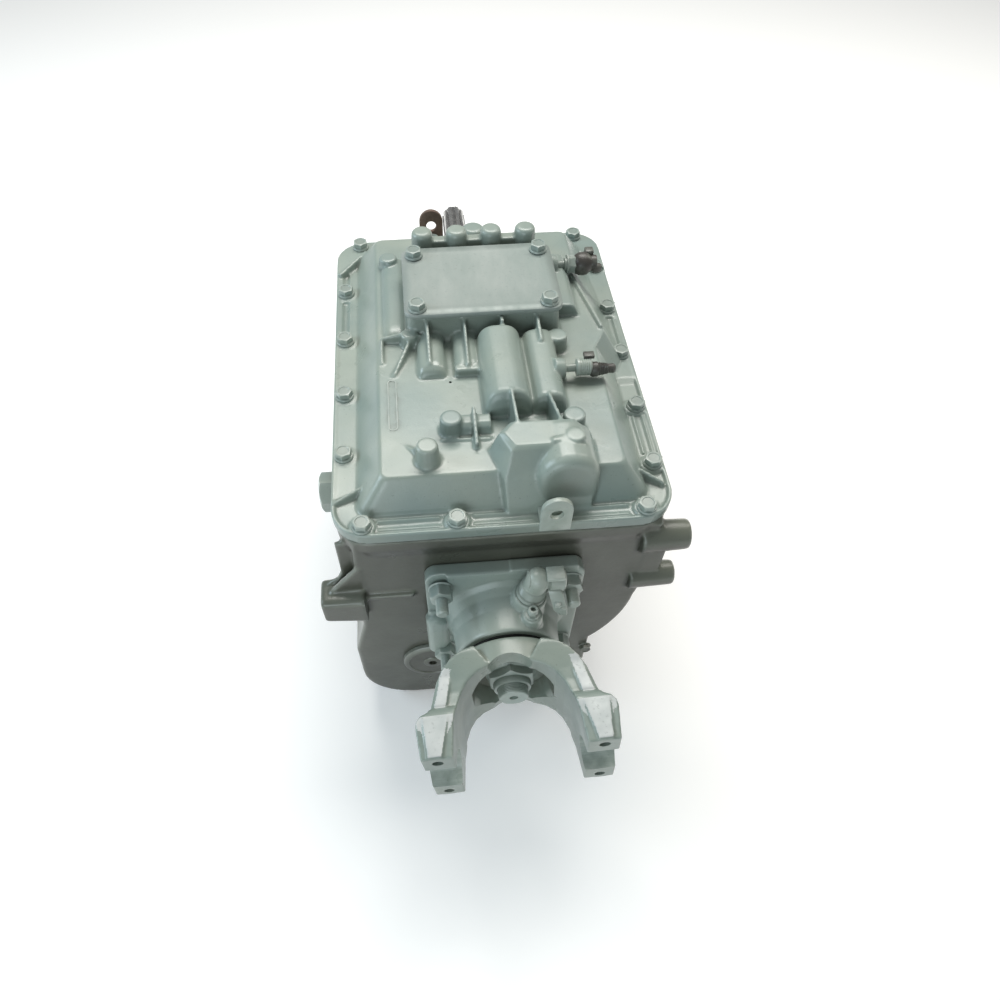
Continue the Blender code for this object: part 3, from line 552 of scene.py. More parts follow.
def cast_bosses():
    """Bosses and ribs standing on the deck."""
    items = [round_boss(-71, 50, 10.5, 54, flare=2.6, crown=2),
        round_boss(-46, 88, 10.8, 51, flare=1.2, crown=2)]
    items += [round_boss(75, 81, 11, 52, crown=2), round_boss(77, 205, 10.5, 49, crown=2)]
    items.append(loft([[(-100, 78, 31), (-78, 46, 31), (-64, 60, 31)],
        [(-86, 66, 34), (-78, 52, 50), (-68, 58, 50)]]))
    items.append(prism([(80, DECK_Z - 4), (83, 40), (87, 43), (97, 43), (101, 40), (104, DECK_Z - 4)], -46,
        -6, "X"))
    items.append(web((-22.5, 104), (-22.5, 61), (49, 40), DECK_Z - 4, 4.6))
    items.append(web((-56, 75), (-8, 74), (DECK_Z + 2.2, DECK_Z + 2.2), DECK_Z - 4, 3))
    items.append(round_boss(-82, 223, 9, 47, flare=1, crown=2))
    items.append(loft([[(-90, 232, 30), (-90, 214, 30), (-64, 222, 30)],
        [(-87, 229, 46), (-87, 217, 46), (-69, 222, 45)]]))
    items.append(web((-112, 228), (-86, 227), (39, 45), DECK_Z - 4, 5))
    items.append(web((-112.5, 230), (-113, 193), (38, 34), DECK_Z - 4, 4))
    items.append(web((-80, 220), (-101, 172), (45, 34), DECK_Z - 4, 4.4))
    sockets = (((331, 47), 84, 95, 11), ((155, 44), 66, 78, 10))
    for centre, low, high, radius in sockets:
        items.append(turned([(radius + 2, low), (radius, high - 1), (radius - 1.2, high)], "X", centre, 32))
    return items


def cover_hollow(cover):
    """Opens the cover from below and leaves the cross walls that carry the shift rails."""
    rings = []
    for (x0, x1, y0, y1), z in (((-136, 138, 20, 437), -15), ((-111, 113, 38, 419), DECK_Z - 8)):
        rings.append([(u, v, z) for u, v in rounded_box((x0, y0), (x1, y1), 12)])
    upper = [[(u, v, z) for u, v in rounded_box((-x, y0), (x, y1), 12)] for x, y0, y1, z in
             ((75, 234, 337, DECK_Z - 12), (73, 236, 335, 56))]
    cut(cover, loft(rings), loft(upper), prism(rounded_box((-58, 248), (58, 318), 12), 50, 80))
    cut(cover, turned([(1.6, DECK_Z - 2.2), (1.6, 60)], "Z", (-42, 159), 16))
    oval = rounded_box((-108, 93), (-98.5, 167), 4.7)
    inner = rounded_box((-106.9, 94.1), (-99.6, 165.9), 3.6)
    add(cover, tube(oval, inner, DECK_Z - 2, DECK_Z + 0.4))
    walls = [block((-84, y0, -13), (84, y1, 27)) for y0, y1 in ((44, 56), (402, 412))]
    add(cover, *walls)
    cut(cover, *(prism(circle(7.4, 24, (x, 0)), 30, 425, "Y") for x in RAIL_X))
    return cover


def cover_casting():
    items = cover_flange() + cover_pan() + plate_box() + detent_row() + selector_humps()
    items += rear_housing() + cast_bosses()
    cover = cast(items, 1.4, 3, 0.36)
    show(cover_hollow(cover), "cover_casting", "case", PAINT, "enamel", "top_cover", sharp=50)


def access_plate():
    rings = []
    for inset, z in ((0.6, 62.3), (0, 63), (0, 66.6), (0.9, PLATE_TOP_Z), (11, PLATE_TOP_Z),
        (14, PLATE_TOP_Z - 0.35)):
        low, high = (-85 + inset, 223 + inset), (85 - inset, 345 - inset)
        rings.append([(u, v, z) for u, v in rounded_box(low, high, 12 - inset * 0.7, 10)])
    show(loft(rings), "shift_access_plate_sheet", "case", PLATE_PAINT, "plate_enamel", "shift_access_plate",
        sharp=60)


# ---- fasteners ----


def hex_ring(flats, z_top, chamfer_r, phase, drop):
    """A hexagon's outline sampled finely, its corners lowered as a 30 degree chamfer lowers them."""
    points = []
    for step in range(48):
        a = 2 * pi * step / 48
        local = (a + pi / 6) % (pi / 3) - pi / 6
        radius = flats / 2 / cos(local)
        level = z_top - drop - max(0.0, radius - chamfer_r) * 0.58 if drop is not None else z_top
        points.append((radius * cos(a + phase), radius * sin(a + phase), level))
    return points


def place_ring(points, at, axis="Z", flip=1):
    """Moves a ring drawn about the origin to a place and turns its own height along an axis."""
    x, y, z = at
    moved = []
    for u, v, w in points:
        moved.append({"Z": (x + u, y + v, z + w * flip), "Y": (x + u, y + w * flip, z + v),
                      "X": (x + w * flip, y + u, z + v)}[axis])
    return moved


def hex_head(at, flats, height, washer_r, washer, phase=0.3, axis="Z", flip=1, dish=True):
    """A flanged hexagon head with a dished top."""
    low_r = flats / 2 * 0.95
    rings = [[(washer_r * k * cos(2 * pi * i / 48 + phase), washer_r * k * sin(2 * pi * i / 48 + phase), z)
              for i in range(48)] for k, z in ((0.96, 0), (1, 0.4), (1, washer * 0.55), (0.93, washer))]
    rings.append(hex_ring(flats, washer + 0.25, low_r, phase, None))
    rings.append(hex_ring(flats, height, low_r, phase, 0))
    caps = [(low_r, height)] + ([(low_r * 0.82, height - 0.1), (low_r * 0.74, height - 0.7)] if dish else [])
    for radius, z in caps:
        rings.append([(radius * cos(2 * pi * i / 48 + phase), radius * sin(2 * pi * i / 48 + phase), z)
                      for i in range(48)])
    return loft([place_ring(ring, at, axis, flip) for ring in rings])


def threads(radius, low, high, pitch=1.75, depth=0.7):
    """A turned profile of sharp ridges along a threaded length."""
    profile, along, step = [], low, pitch if high > low else -pitch
    while (high - along) * step > 0:
        profile += [(radius - depth, along), (radius, along + step / 2)]
        along += step
    return profile


def cover_bolts():
    turn = 0.2
    for side, x in (("left", -BOLT_X), ("right", BOLT_X)):
        for number, y in enumerate(COLUMN_BOLTS[side], 1):
            turn += 0.71
            head = hex_head((x, y, 0.3), 16, 8.4, 10.2, 2.4, turn)
            show(head, f"flange_bolt_{side}_{number}", "case", TRIM_PAINT, "enamel",
                f"cover_bolt_{side}_{number}")
    for number, (x, y) in enumerate(PLATE_BOLTS, 1):
        turn += 0.93
        head = hex_head((x, y, PLATE_TOP_Z + 0.3), 16, 8.4, 10.2, 2.4, turn)
        show(head, f"access_plate_bolt_{number}", "case", TRIM_PAINT, "enamel", f"plate_bolt_{number}")
    for number, (x, y, seat) in enumerate(ROW_BOLTS + EYE_BOLTS, 1):
        turn += 0.57
        head = hex_head((x, y, seat + 0.3), 16, 8.4, 10.2, 2.4, turn)
        show(head, f"row_bolt_{number}", "case", TRIM_PAINT, "enamel")


def ring_of_bolts(name, centre, radius, angles, y, flats, material, flip=1, body="case"):
    """Heads standing round a circular cover, facing along Y."""
    heads = []
    for angle in angles:
        at = (centre[0] + radius * cos(radians(angle)), y, centre[1] + radius * sin(radians(angle)))
        heads.append(hex_head(at, flats, flats * 0.5, flats * 0.64, 1.8, radians(angle * 1.7), "Y", flip))
    show(joined(heads), name, body, material, "enamel")


def pto_covers():
    for name, near, far, z0, z1 in (("left", -177.3, -187, -298, -238), ("right", 115.3, 125, -304, -250)):
        out = 1 if far > near else -1
        rings = []
        for inset, x in ((0.5, near), (0, near + out), (0, far - out * 1.2), (1, far)):
            outline = rounded_box((118 + inset, z0 + inset), (272 - inset, z1 - inset), 14)
            rings.append([(x, u, v) for u, v in outline])
        plate = loft(rings)
        raised = prism(rounded_box((140, z0 + 17), (250, z1 - 17), 6), far - out * 2, far + out * 2.2, "X")
        heads = [hex_head((far - out * 0.2, y, z), 13, 4.6, 8.4, 1.5, y, "X", out)
            for y in (130, 173, 217, 260)
                 for z in (z0 + 9, z1 - 9)]
        show(joined([plate, bevelled(raised, 1.2)] + heads), f"pto_blanking_cover_{name}", "case", SHADED_CASE_PAINT,
            "enamel",
             f"pto_cover_{name}")


def plugs():
    at = (-170.2, 98, -58)
    head = hex_head((at[0] + 2, at[1], at[2]), 38, 23, 24, 5, 0.26, "X", -1, dish=False)
    cut(head, prism(circle(9, 4, at[1:], 0.26), -210, -182, "X"))
    show(head, "fill_plug_head", "case", TRIM_PAINT, "enamel", "fill_plug")
    drain = turned([(10.6, -358), (10.6, -364.4), (10, -365)], "Z", (-60, 225))
    cut(drain, prism(circle(5, 4, (-60, 225)), -370, -361, "Z"))
    show(drain, "drain_plug_magnetic", "case", STEEL, "steel", "drain_plug")


def lifting_eyes():
    """Bent steel straps: a round-topped upright with the lifting hole and a foot under its bolt."""
    for name, x, edge, out, material, slot in (
        ("rear", 46, -12.8, -1, TRIM_PAINT, "enamel"),
        ("front", -46, 469.8, 1, BARE_IRON, "bare_iron"),
    ):
        outline = [(x - 15, -3)] + [(x - 15 * cos(radians(a)), 25 + 15 * sin(radians(a)))
            for a in range(0, 181, 12)]
        outline += [(x + 15, -3)]
        upright = prism(outline, min(edge, edge + out * 5), max(edge, edge + out * 5), "Y")
        foot = block((x - 14, min(edge - out * 23, edge + out * 2), 0.3),
            (x + 14, max(edge - out * 23, edge + out * 2), 4.6))
        cut(upright, turned([(6.5, edge - 9), (6.5, edge + 9)], "Y", (x, 20), 40))
        add(upright, foot)
        show(bevelled(upright, 0.9, 2, 30), f"lifting_strap_{name}", "case", material, slot,
            f"{name}_lifting_eye")


# ---- case ----


def case_section(inset, top):
    """Outline in X, Z: straight sides, countershaft bulge, flat sump, belly round the main shaft."""
    bulge = -177 + inset
    bottom = -364.8 + inset
    points = [(160 - inset, top), (-153 + inset, top), (-158 + inset, -120), (-161 + inset, -175),
        (bulge, -234)]
    points += arc((bulge + 66 - inset, -299), 66 - inset, 180, 270, 10)
    points += [(50 - inset / 2, bottom), (115 - inset, -306 + inset / 2)]
    points += arc((0, MAIN_Z), 154 - inset, -41.9, -3, 12)
    points += [(160 - inset, -120)]
    return points


def side_rib(x0, x1, y, z0, z1, width=9):
    """A flat rib on the case's side wall, fading out towards its foot."""
    mid = (z0 + z1) / 2
    outline = [(x0, z1), (x1, z1), (x1, mid), (x0, z0)]
    return prism(outline, y - width / 2, y + width / 2, "Y")


def case_bosses():
    """The frame bosses level with the rear wall, each with its web."""
    (y, z), (_, upper), (_, lower) = LEFT_BOSS, RIGHT_BOSSES[0], RIGHT_BOSSES[1]
    rings = []
    for x, grow in ((LEFT_BOSS_END_X, -1), (LEFT_BOSS_END_X + 2.5, 0), (-150, 2)):
        rings.append([(x, u, v) for u, v in rounded_box((y - 19 - grow, z - 19 - grow),
            (y + 17 + grow, z + 19 + grow), 7)])
    items = [loft(rings)]
    for radius, at in ((16, upper), (14, lower)):
        items.append(turned([(radius - 1, BOSS_END_X), (radius, BOSS_END_X - 2.5), (radius + 1.5, 140)], "X",
            (-2, at), 40))
    items.append(block((150, -9, lower), (172, 3, upper)))
    shell = ((-150, -28), (-171, -30), (-172, -78), (-178, -92), (-195, z + 17), (-150, z + 17))
    items.append(prism(shell, 3, 9, "Y"))
    items.append(prism(((-150, -58), (-155, -60), (-191, z + 15), (-150, z + 15)), -9, -3, "Y"))
    items.append(prism(((-178, -13), (-98, -13), (-96, -6), (-96, 2), (-178, 2)), z + 6, z + 12))
    return items


def case_outer():
    shell = loft([[(u, y, v) for u, v in case_section(inset, CASE_TOP_Z - 4)] for y, inset in
                  ((-8, 3), (-5.5, 0), (463, 0), (465, 2))])
    rim_low, rim_high = rounded_box((-164, -8), (165, 466), 33, 10), rounded_box((-168, -11), (168, 468), 36,
        10)
    rim = loft([[(u, v, z) for u, v in ring] for ring,
        z in ((rim_low, -40), (rim_high, -28), (rim_high, CASE_TOP_Z))])
    items = [shell, rim] + case_bosses()
    for y in (68, 300, 352, 418):
        items.append(side_rib(-150, -172, y, -236, -34))
        items.append(side_rib(150, 168, y, -160, -34))
    items.append(prism([(-150, -150), (-168, -152), (-168, -160), (-150, -162)], 0, 458, "Y"))
    items.append(prism([(140, -150), (166, -152), (166, -160), (140, -162)], 20, 458, "Y"))
    items.append(prism(rounded_box((112, -304), (278, -232), 18), -177, -150, "X"))
    items.append(prism(rounded_box((112, -310), (278, -244), 18), 88, 115, "X"))
    items.append(turned([(25, -150), (25, -166), (23.5, -168)], "X", (98, -58), 40))
    items.append(turned([(92, 455), (92, 470.5), (90, 472)], "Y", (0, MAIN_Z), 80))
    items.append(turned([(42, -2), (40, -7.9)], "Y", COUNTER, 64))
    items += [prism(circle(10, 32, (x, z)), 440, 471.8, "Y") for x in (-146, 146) for z in (-52, -128, -212)]
    items += [prism(circle(10, 32, (x, -340)), 440, 471.8, "Y") for x in (-120, -40, 40)]
    items.append(block((-150, 452, -345), (90, 471.8, -318)))
    items.append(turned([(20, -350), (18, -364.6)], "Z", (-60, 225), 40))
    items += [prism(((-150, -340), (40, -364.5), (40, -357), (-150, -330)), y - 4, y + 4, "Y")
        for y in (60, 140, 320, 400)]
    return items


def case_casting():
    case = cast(case_outer(), 2.1, 3, 0.34)
    cut(
        case,
        prism(case_section(8, CASE_TOP_Z + 5), 6, 449, "Y"),
        turned([(55.5, -20), (55.5, 20)]),
        turned([(50.5, 440), (50.5, 480)]),
        turned([(32.5, -20), (32.5, 20)], "Y", COUNTER),
        turned([(32.5, 440), (32.5, 462)], "Y", COUNTER),
        turned([(12.4, -20), (12.4, 20)], "Y", IDLER),
        turned([(14, -180), (14, -140)], "X", (98, -58)),
        turned([(11, -380), (11, -350)], "Z", (-60, 225)),
        prism(rounded_box((135, -290), (255, -246), 10), -190, -160, "X"),
        prism(rounded_box((135, -296), (255, -256), 10), 98, 130, "X"),
        turned([(5, 168), (5, 210)], "X", RIGHT_BOSSES[0], 32),
        turned([(5, 168), (5, 210)], "X", RIGHT_BOSSES[1], 32),
        turned([(6, -215), (6, -174)], "X", LEFT_BOSS, 32),
    )
    show(case, "case_casting", "case", SHADED_CASE_PAINT, "enamel", "main_case", sharp=50)
    low = [hex_head((x, y, z), 13, 7, 8.4, 1.8, y, "Y", -1) for x, y, z in ((112, -7, -268), (96, -7, -300))]
    show(joined(low), "rear_wall_bolts", "case", SHADED_CASE_PAINT, "enamel")


# ---- output end ----


def leant(item, degrees, foot):
    """Turns a solid about the Y direction through a foot point, its top towards +X."""
    pivot = ORIGIN + Vector(foot) * MM
    item.data.transform(Matrix.Translation(pivot) @ Matrix.Rotation(radians(degrees), 4,
        "Y") @ Matrix.Translation(-pivot))
    return item


def rear_cover():
    half = 84
    rings = []
    for inset, y in ((0, -8.3), (0, -22.5), (1.2, -24.4), (3, -25)):
        outline = rounded_box((-half + inset, MAIN_Z - half + inset), (half - inset, MAIN_Z + half - inset),
            15 - inset)
        rings.append([(u, y, v) for u, v in outline])
    flange = loft(rings)
    cut(flange, prism(rounded_box((-90, -127), (-60, -57), 9), -40, -21.5, "Y"))
    barrel = [(74, -12), (71, -24), (64, -30), (59.5, -38), (57, -52), (56.2, -76), (55, -78)]
    items = [flange, turned(barrel, sides=96), block((5, -24.5, -76), (76, -10, -57.2))]
    items += [turned([(14, -10), (13, -25)], "Y", (x, MAIN_Z + z), 40) for x in (68,) for z in (-63, 63)]
    items += [turned([(14, -10), (13, -25)], "Y", (-68, MAIN_Z - 63), 40)]
    tongue = []
    for shrink, y in ((0, -20), (0.5, -29), (3, -33), (7, -35)):
        outline = rounded_box((-87.4 + shrink, -216 + shrink * 2), (-62 - shrink, -130 - shrink), 12 - shrink,
            8)
        tongue.append([(u, y - (v + 130) * 0.02, v) for u, v in outline])
    items.append(loft(tongue))
    items.append(leant(turned([(23, -112), (19, -88), (18, -80), (17, -78.5)], "Z", SENSOR, 48), 12,
        (*SENSOR, -90)))
    items.append(turned([(14, -120), (11.5, -94), (10.5, -84), (9.5, -82.5)], "Z", (24, -63), 40))
    cover = cast(items, 1.15, 3, 0.4)
    cut(
        cover,
        turned([(40, 0), (40, -64), (49, -64), (49, -100)]),
        leant(turned([(12.4, MAIN_Z + 40), (12.4, -60)], "Z", SENSOR), 12, (*SENSOR, -90)),
        *(turned([(7, -60), (7, 0)], "Y", (x, MAIN_Z + z), 32) for x in (-68, 68) for z in (-63, 63)),
    )
    show(cover, "rear_cover_casting", "case", TRIM_PAINT, "enamel", "rear_bearing_cover", sharp=50)


def rear_studs():
    """Studs with their nuts run down, the threads standing proud."""
    for number, (x, z) in enumerate(((-68, 63), (68, 63), (-68, -63), (68, -63)), 1):
        at = (x, MAIN_Z + z)
        nut = hex_head((x, -25.3, at[1]), 22, 14.5, 13.2, 1.6, radians(10 * number), "Y", -1, dish=False)
        profile = [(6.2, -12)] + threads(6.6, -36, -56.2) + [(5.8, -57), (4.6, -58)]
        show(joined([nut, turned(profile, "Y", at, 40)]), f"rear_stud_and_nut_{number}", "case", TRIM_PAINT,
            "enamel",
             f"rear_stud_nut_{number}")


def speed_sensor():
    """Speed sensor leaning right: threaded body, domed elbow with a collar, and a lead plug."""
    foot = (*SENSOR, -90)
    body = [(11.6, -92), (11.6, -78), (15.5, -77.6), (15.5, -74), (14, -73.4)]
    body += threads(14.4, -73, -62, 2.2, 0.9)
    body += [(12.6, -61.5), (12.2, -57), (12.6, -54), (12, -47), (10, -42.5), (6, -39.8), (2, -39)]
    elbow = [(9, 20), (9, 36), (10.4, 36.6), (10.4, 38.4), (9.4, 39), (9.4, 41), (11.4, 42), (11.4, 56),
        (10, 57.5)]
    items = [leant(turned(body, "Z", SENSOR, 48), 12, foot)]
    items.append(leant(turned(elbow, "X", (SENSOR[1], -52), 48), 8, (30, SENSOR[1], -52)))
    items.append(bevelled(block((38, SENSOR[1] - 9, -45), (56, SENSOR[1] + 7, -40)), 1))
    show(joined(items), "speed_sensor_body", "case", TRIM_PAINT, "enamel", "output_speed_sensor")
    screw = [hex_head((24, -63, -82.3), 10, 6, 8, 1.4, 0.4)]
    screw.append(turned([(5.2, -78), (5.2, -73), (4.6, -72.2)], "Z", (24, -63), 40))
    cut(screw[1], turned([(2.6, -76), (2.6, -62)], "Z", (24, -63), 24))
    show(joined(screw), "sensor_clamp_screw", "case", TRIM_PAINT, "enamel")
    plug = loft([[(x + dx * w, y - k * 0.3, z) for dx, k in ((-7, 0), (7, 6), (6, 14), (-8, 8))] for x, y, z,
        w in
                 ((46, -50, -56, 0.9), (48, -53, -60, 1), (53, -60, -78, 1), (56, -62, -86, 0.55))])
    clips = [bevelled(block((46 + k, -64, -72 - k), (52 + k, -56, -68 - k)), 0.6) for k in (0, 6)]
    stem = turned([(4, -50), (3.6, -62)], "Z", (45, -46), 24)
    show(joined([bevelled(plug, 1), stem] + clips), "sensor_lead_plug", "case", TRIM_PAINT, "enamel")


def yoke_arm(side):
    """One arm with its two lugs, its upper and lower faces stepped back from the lugs' pads."""
    outline = [(20, -112), (34, -118), (44, -126), (51, -137), (56, -150), (60, -168), (63, -203.8),
        (94, -203.8),
               (97.4, -171), (96.4, -165), (92, -159.5), (85, -156), (82, -150), (79, -138), (75, -124),
                   (69, -112.5),
               (60, -102), (48, -94), (34, -90)]
    arm = prism([(side * u, v) for u, v in outline], MAIN_Z - 58, MAIN_Z + 58)
    for up in (-1, 1):
        waist = [(-60, up * 80), (-60, up * 60), (-84, up * 59), (-94, up * 58.4), (-104, up * 56.6),
            (-114, up * 54.4),
                 (-124, up * 52.4), (-136, up * 51), (-151, up * 51), (-154, up * 56), (-160, up * 58),
                 (-215, up * 55), (-215, up * 80)]
        cut(arm, prism([(y, MAIN_Z + z) for y, z in waist], min(side * 10, side * 110),
            max(side * 10, side * 110), "X"))
    solids = [arm]
    for up in (-1, 1):
        lug = [(side * u, v) for u, v in ((65, -162), (90, -162), (87, -203), (73, -203))]
        strip = [(side * u, v) for u, v in ((59, -100), (64, -108), (72, -124), (79, -150), (66, -150),
            (61, -126))]
        for plan, low, high in ((lug, 46, 58.6), (strip, 44, 53.4)):
            ends = sorted((MAIN_Z + up * low, MAIN_Z + up * high))
            solids.append(prism(plan, *ends))
    return solids


def worn_pad(spot, normal):
    """Whether a place on the yoke is one of the rubbed faces of its arms and lugs."""
    height, reach = abs(spot.z - MAIN_Z), abs(spot.x)
    inner_edge = 58 + (-104 - spot.y) * 0.19
    strip = 51.5 < height < 55 and -152 < spot.y < -107 and reach > inner_edge
    return abs(normal.z) > 0.93 and (height > 57.2 and spot.y < -161 or strip)


def yoke():
    """Forged end yoke: hub band, scalloped between the arms, half-round saddles and drilled lugs."""
    hub = turned([(53, -83.2), (57.5, -86.5), (58, -92), (58, -110), (55, -114)], sides=96)
    items = [hub] + yoke_arm(-1) + yoke_arm(1)
    forging = cast(items, 1.1, 9, 0.45)
    bowl = [(33, MAIN_Z - 90), (31, MAIN_Z - 48), (29, MAIN_Z - 40), (29, MAIN_Z + 40), (31, MAIN_Z + 48),
        (33, MAIN_Z + 90)]
    cut(forging, turned(bowl, "Z", (0, -135), 96))
    cut(forging, turned([(27, -110), (27, 110)], "X", (-204, MAIN_Z), 96))
    cut(forging, turned([(45, -125), (43, -112), (39, -97)]))
    cut(forging, turned([(24.4, -100), (24.4, -60)]))
    cut(forging, *(turned([(5.5, -215), (5.5, -168)], "Y", (x * 79, MAIN_Z + z * 43.8), 32) for x in (-1, 1)
        for z in (-1, 1)))
    add(forging, tube(circle(34.5, 96, (0, MAIN_Z)), circle(24.4, 96, (0, MAIN_Z)), -86, -62, "Y"))
    centre = ORIGIN + Vector((0, 0, MAIN_Z)) * MM
    turn = Matrix.Translation(centre) @ Matrix.Rotation(-YOKE_TILT, 4, "Y") @ Matrix.Translation(-centre)
    rubbed = [worn_pad((polygon.center - ORIGIN) / MM, polygon.normal) for polygon in forging.data.polygons]
    forging.data.transform(turn)
    show(forging, "yoke_forging", "output", YOKE_PAINT, "enamel", "output_yoke", sharp=50)
    forging.data.materials.append(WORN_PAINT)
    for polygon, bright in zip(forging.data.polygons, rubbed):
        polygon.material_index = int(bright)


def yoke_nut():
    nut = hex_head((0, -97.4, MAIN_Z), 46, 13, 27, 3.4, radians(5), "Y", -1, dish=False)
    collar = turned([(19.5, -108), (20.2, -111), (20.2, -115.6), (19.4, -117)], sides=64)
    add(nut, collar)
    cut(nut, turned([(16.6, -130), (16.6, -90)]))
    show(nut, "yoke_lock_nut", "output", TRIM_PAINT, "enamel", "yoke_nut")


def hidden_shaft():
    """The output shaft, threaded at its end, with a centre hole and a hub under each sleeve."""
    profile = [(3, -122), (4.6, -127.2), (9, -127.4), (14.6, -127.6), (15.6, -126.6)]
    profile += threads(16.1, -126, -97)[:-1] + [(16, -95.5), (24, -94), (24, -56), (30, -54), (30, 14),
        (28, 15)]
    for middle in (66, 176, 282, 386):
        profile += [(28, middle - 13), (39, middle - 13), (40, middle - 12), (40, middle + 12),
            (39, middle + 13),
                    (28, middle + 13)]
    profile += [(28, 404), (12, 405), (12, 422)]
    show(turned(profile), "output_main_shaft", "output", TRIM_PAINT, "steel", "main_shaft")


# ---- input end and small covers ----


def input_shaft():
    """Polished input shaft with ten splines and a pilot, carrying the first gear of the headset."""
    shaft = turned([(40, 406), (40, 413), (34, 414), (34, 446), (28, 447), (28, 470), (22, 472), (22, 650),
        (21, 652),
                    (16.5, 660), (16.5, 781), (14, 784.6)])
    teeth = []
    for tooth in range(23):
        middle = atan2(MAIN_Z - COUNTER[1], -COUNTER[0]) + pi + pi / 23 + 2 * pi * tooth / 23
        for offset, radius in ((-0.066, 65), (-0.024, 76.4), (0.024, 76.4), (0.066, 65)):
            teeth.append((radius * cos(middle + offset), MAIN_Z + radius * sin(middle + offset)))
    splines = []
    for tooth in range(10):
        middle = 2 * pi * tooth / 10
        for offset, radius in ((-0.2, 16), (-0.15, 19), (0, 19.1), (0.15, 19), (0.2, 16)):
            splines.append((radius * cos(middle + offset), MAIN_Z + radius * sin(middle + offset)))
    add(shaft, prism(teeth, 412, 440, "Y"))
    add(shaft, prism(splines, 665, 778, "Y"))
    cut(shaft, turned([(13, 400), (13, 424)]), turned([(2.5, 770), (5, 786)]))
    show(bevelled(shaft, 0.5, 2, 35), "splined_input_shaft", "input", STEEL, "steel", "input_shaft")


def front_retainer():
    """The bolted flange round the input shaft and its long machined quill."""
    profile = [(77, 472.4), (78, 473.4), (78, 482.5), (76.5, 484), (48, 486), (42, 489), (36, 500), (33, 508)]
    outer = turned(profile + [(32, 512), (32, 638.5), (31, 640), (24.5, 640), (24.5, 472.4)], closed=True,
        sides=80)
    ribs = []
    for step in range(6):
        a = radians(30 + 60 * step)
        spoke = [(y, r) for y, r in ((482, 30), (482, 70), (487, 66), (505, 36), (512, 30))]
        rings = [[(r * cos(a) - w * sin(a), y, MAIN_Z + r * sin(a) + w * cos(a)) for y, r in spoke]
            for w in (-3, 3)]
        ribs.append(bevelled(loft(rings), 0.8))
    add(outer, *ribs)
    show(outer, "input_quill", "case", SHADED_CASE_PAINT, "enamel", "front_bearing_retainer")
    ring_of_bolts("quill_bolts", (0, MAIN_Z), 66, range(0, 360, 60), 484.1, 13, SHADED_CASE_PAINT)


def countershaft_covers():
    rear = turned([(37, -8.3), (37, -12.6), (35.6, -14), (33, -15), (30, -15.2), (29, -14.2), (12, -14.2),
        (11, -15.4),
                   (9.5, -15.9)], "Y", COUNTER)
    cut(rear, prism(circle(5.6, 6, COUNTER), -20, -12, "Y"))
    show(rear, "countershaft_cap_rear", "case", SHADED_CASE_PAINT, "enamel", "countershaft_rear_cover")
    front = turned([(41, 465.3), (41, 470), (39.5, 471.8), (30, 471.8), (29, 470.6)], "Y", COUNTER)
    cut(front, prism(circle(79, 80, (0, MAIN_Z)), 460, 480, "Y"))
    show(front, "countershaft_cap_front", "case", SHADED_CASE_PAINT, "enamel", "countershaft_front_cover")


def switches():
    """Two screwed-in switches on the cover's right side, each with its moulded connector."""
    reverse = [(5.2, 92), (4.6, 93), (4.6, 103), (7.4, 104), (7.4, 107)]
    base = turned(reverse, "X", (331, 47), 40)
    body = hex_head((106, 331, 47), 17, 11, 10.4, 2, 0.2, "X", 1, dish=False)
    show(joined([base, body]), "reverse_switch_body", "case", TRIM_PAINT, "enamel", "reverse_lamp_switch")
    boot = turned([(8, 115), (10.4, 117), (12.2, 121), (12.6, 126), (12, 130), (9, 134), (8.4, 135), (9, 137),
                   (8.6, 141)], "X", (331, 47), 40)
    ear = bevelled(block((128, 334, 50), (138, 344, 60)), 1.5)
    tail = turned([(5.5, 138), (5, 146), (3.4, 148)], "X", (329, 42), 24)
    show(joined([boot, ear, tail]), "reverse_switch_connector", "case", CONNECTOR, "seal_rubber")
    neutral = [(4.6, 76.5), (4.2, 78), (4.2, 88), (8.8, 89.5), (8.8, 92), (8.2, 92.6)]
    neutral += threads(8.7, 93, 104, 2.2, 0.5) + [(7, 105)]
    show(turned(neutral, "X", (155, 45), 40), "neutral_switch_body", "case", TRIM_PAINT, "enamel",
        "neutral_switch")
    plug = [(6.2, 104), (7.6, 106), (7.6, 111)]
    for step in range(6):
        plug += [(7.2 - step * 0.3, 111.4 + 2 * step), (6.2 - step * 0.3, 112.4 + 2 * step)]
    plug += [(4.6, 124), (5, 128), (3.6, 130)]
    latch = bevelled(block((97, 158, 52), (108, 166, 56)), 0.8)
    show(joined([turned(plug, "X", (153, 43), 32), latch]), "neutral_switch_connector", "case", CONNECTOR,
        "seal_rubber")


def carried_nodes():
    """CAD nodes that keep their own mesh: a finish each, and softened edges on the steel ones."""
    plans = {
        STEEL: ("main_rear_bearing", "input_bearing", "countershaft_rear_bearing",
            "countershaft_front_bearing",
                "reverse_idler_shaft"),
        GEAR_STEEL: ("first_gear", "second_gear", "third_gear", "fourth_gear", "fifth_gear", "reverse_gear",
                     "reverse_idler_gear", "countershaft", "reverse_sleeve", "first_second_sleeve",
                     "third_fourth_sleeve", "fifth_sixth_sleeve", "reverse_shift_rail",
                         "first_second_shift_rail",
                     "third_fourth_shift_rail", "fifth_sixth_shift_rail"),
        RUBBER: ("rear_oil_seal",),
        GASKET: ("cover_gasket",),
    }
    for material, names in plans.items():
        for name in names:
            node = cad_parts[name]
            for index in range(len(node.material_slots)):
                node.material_slots[index].material = material
            if material in (STEEL, GEAR_STEEL):
                edge = node.modifiers.new("edge", "BEVEL")
                edge.width = 0.5 * MM
                edge.segments = 2
                edge.limit_method = "ANGLE"
                edge.angle_limit = radians(35)


# ---- stage, light and camera ----


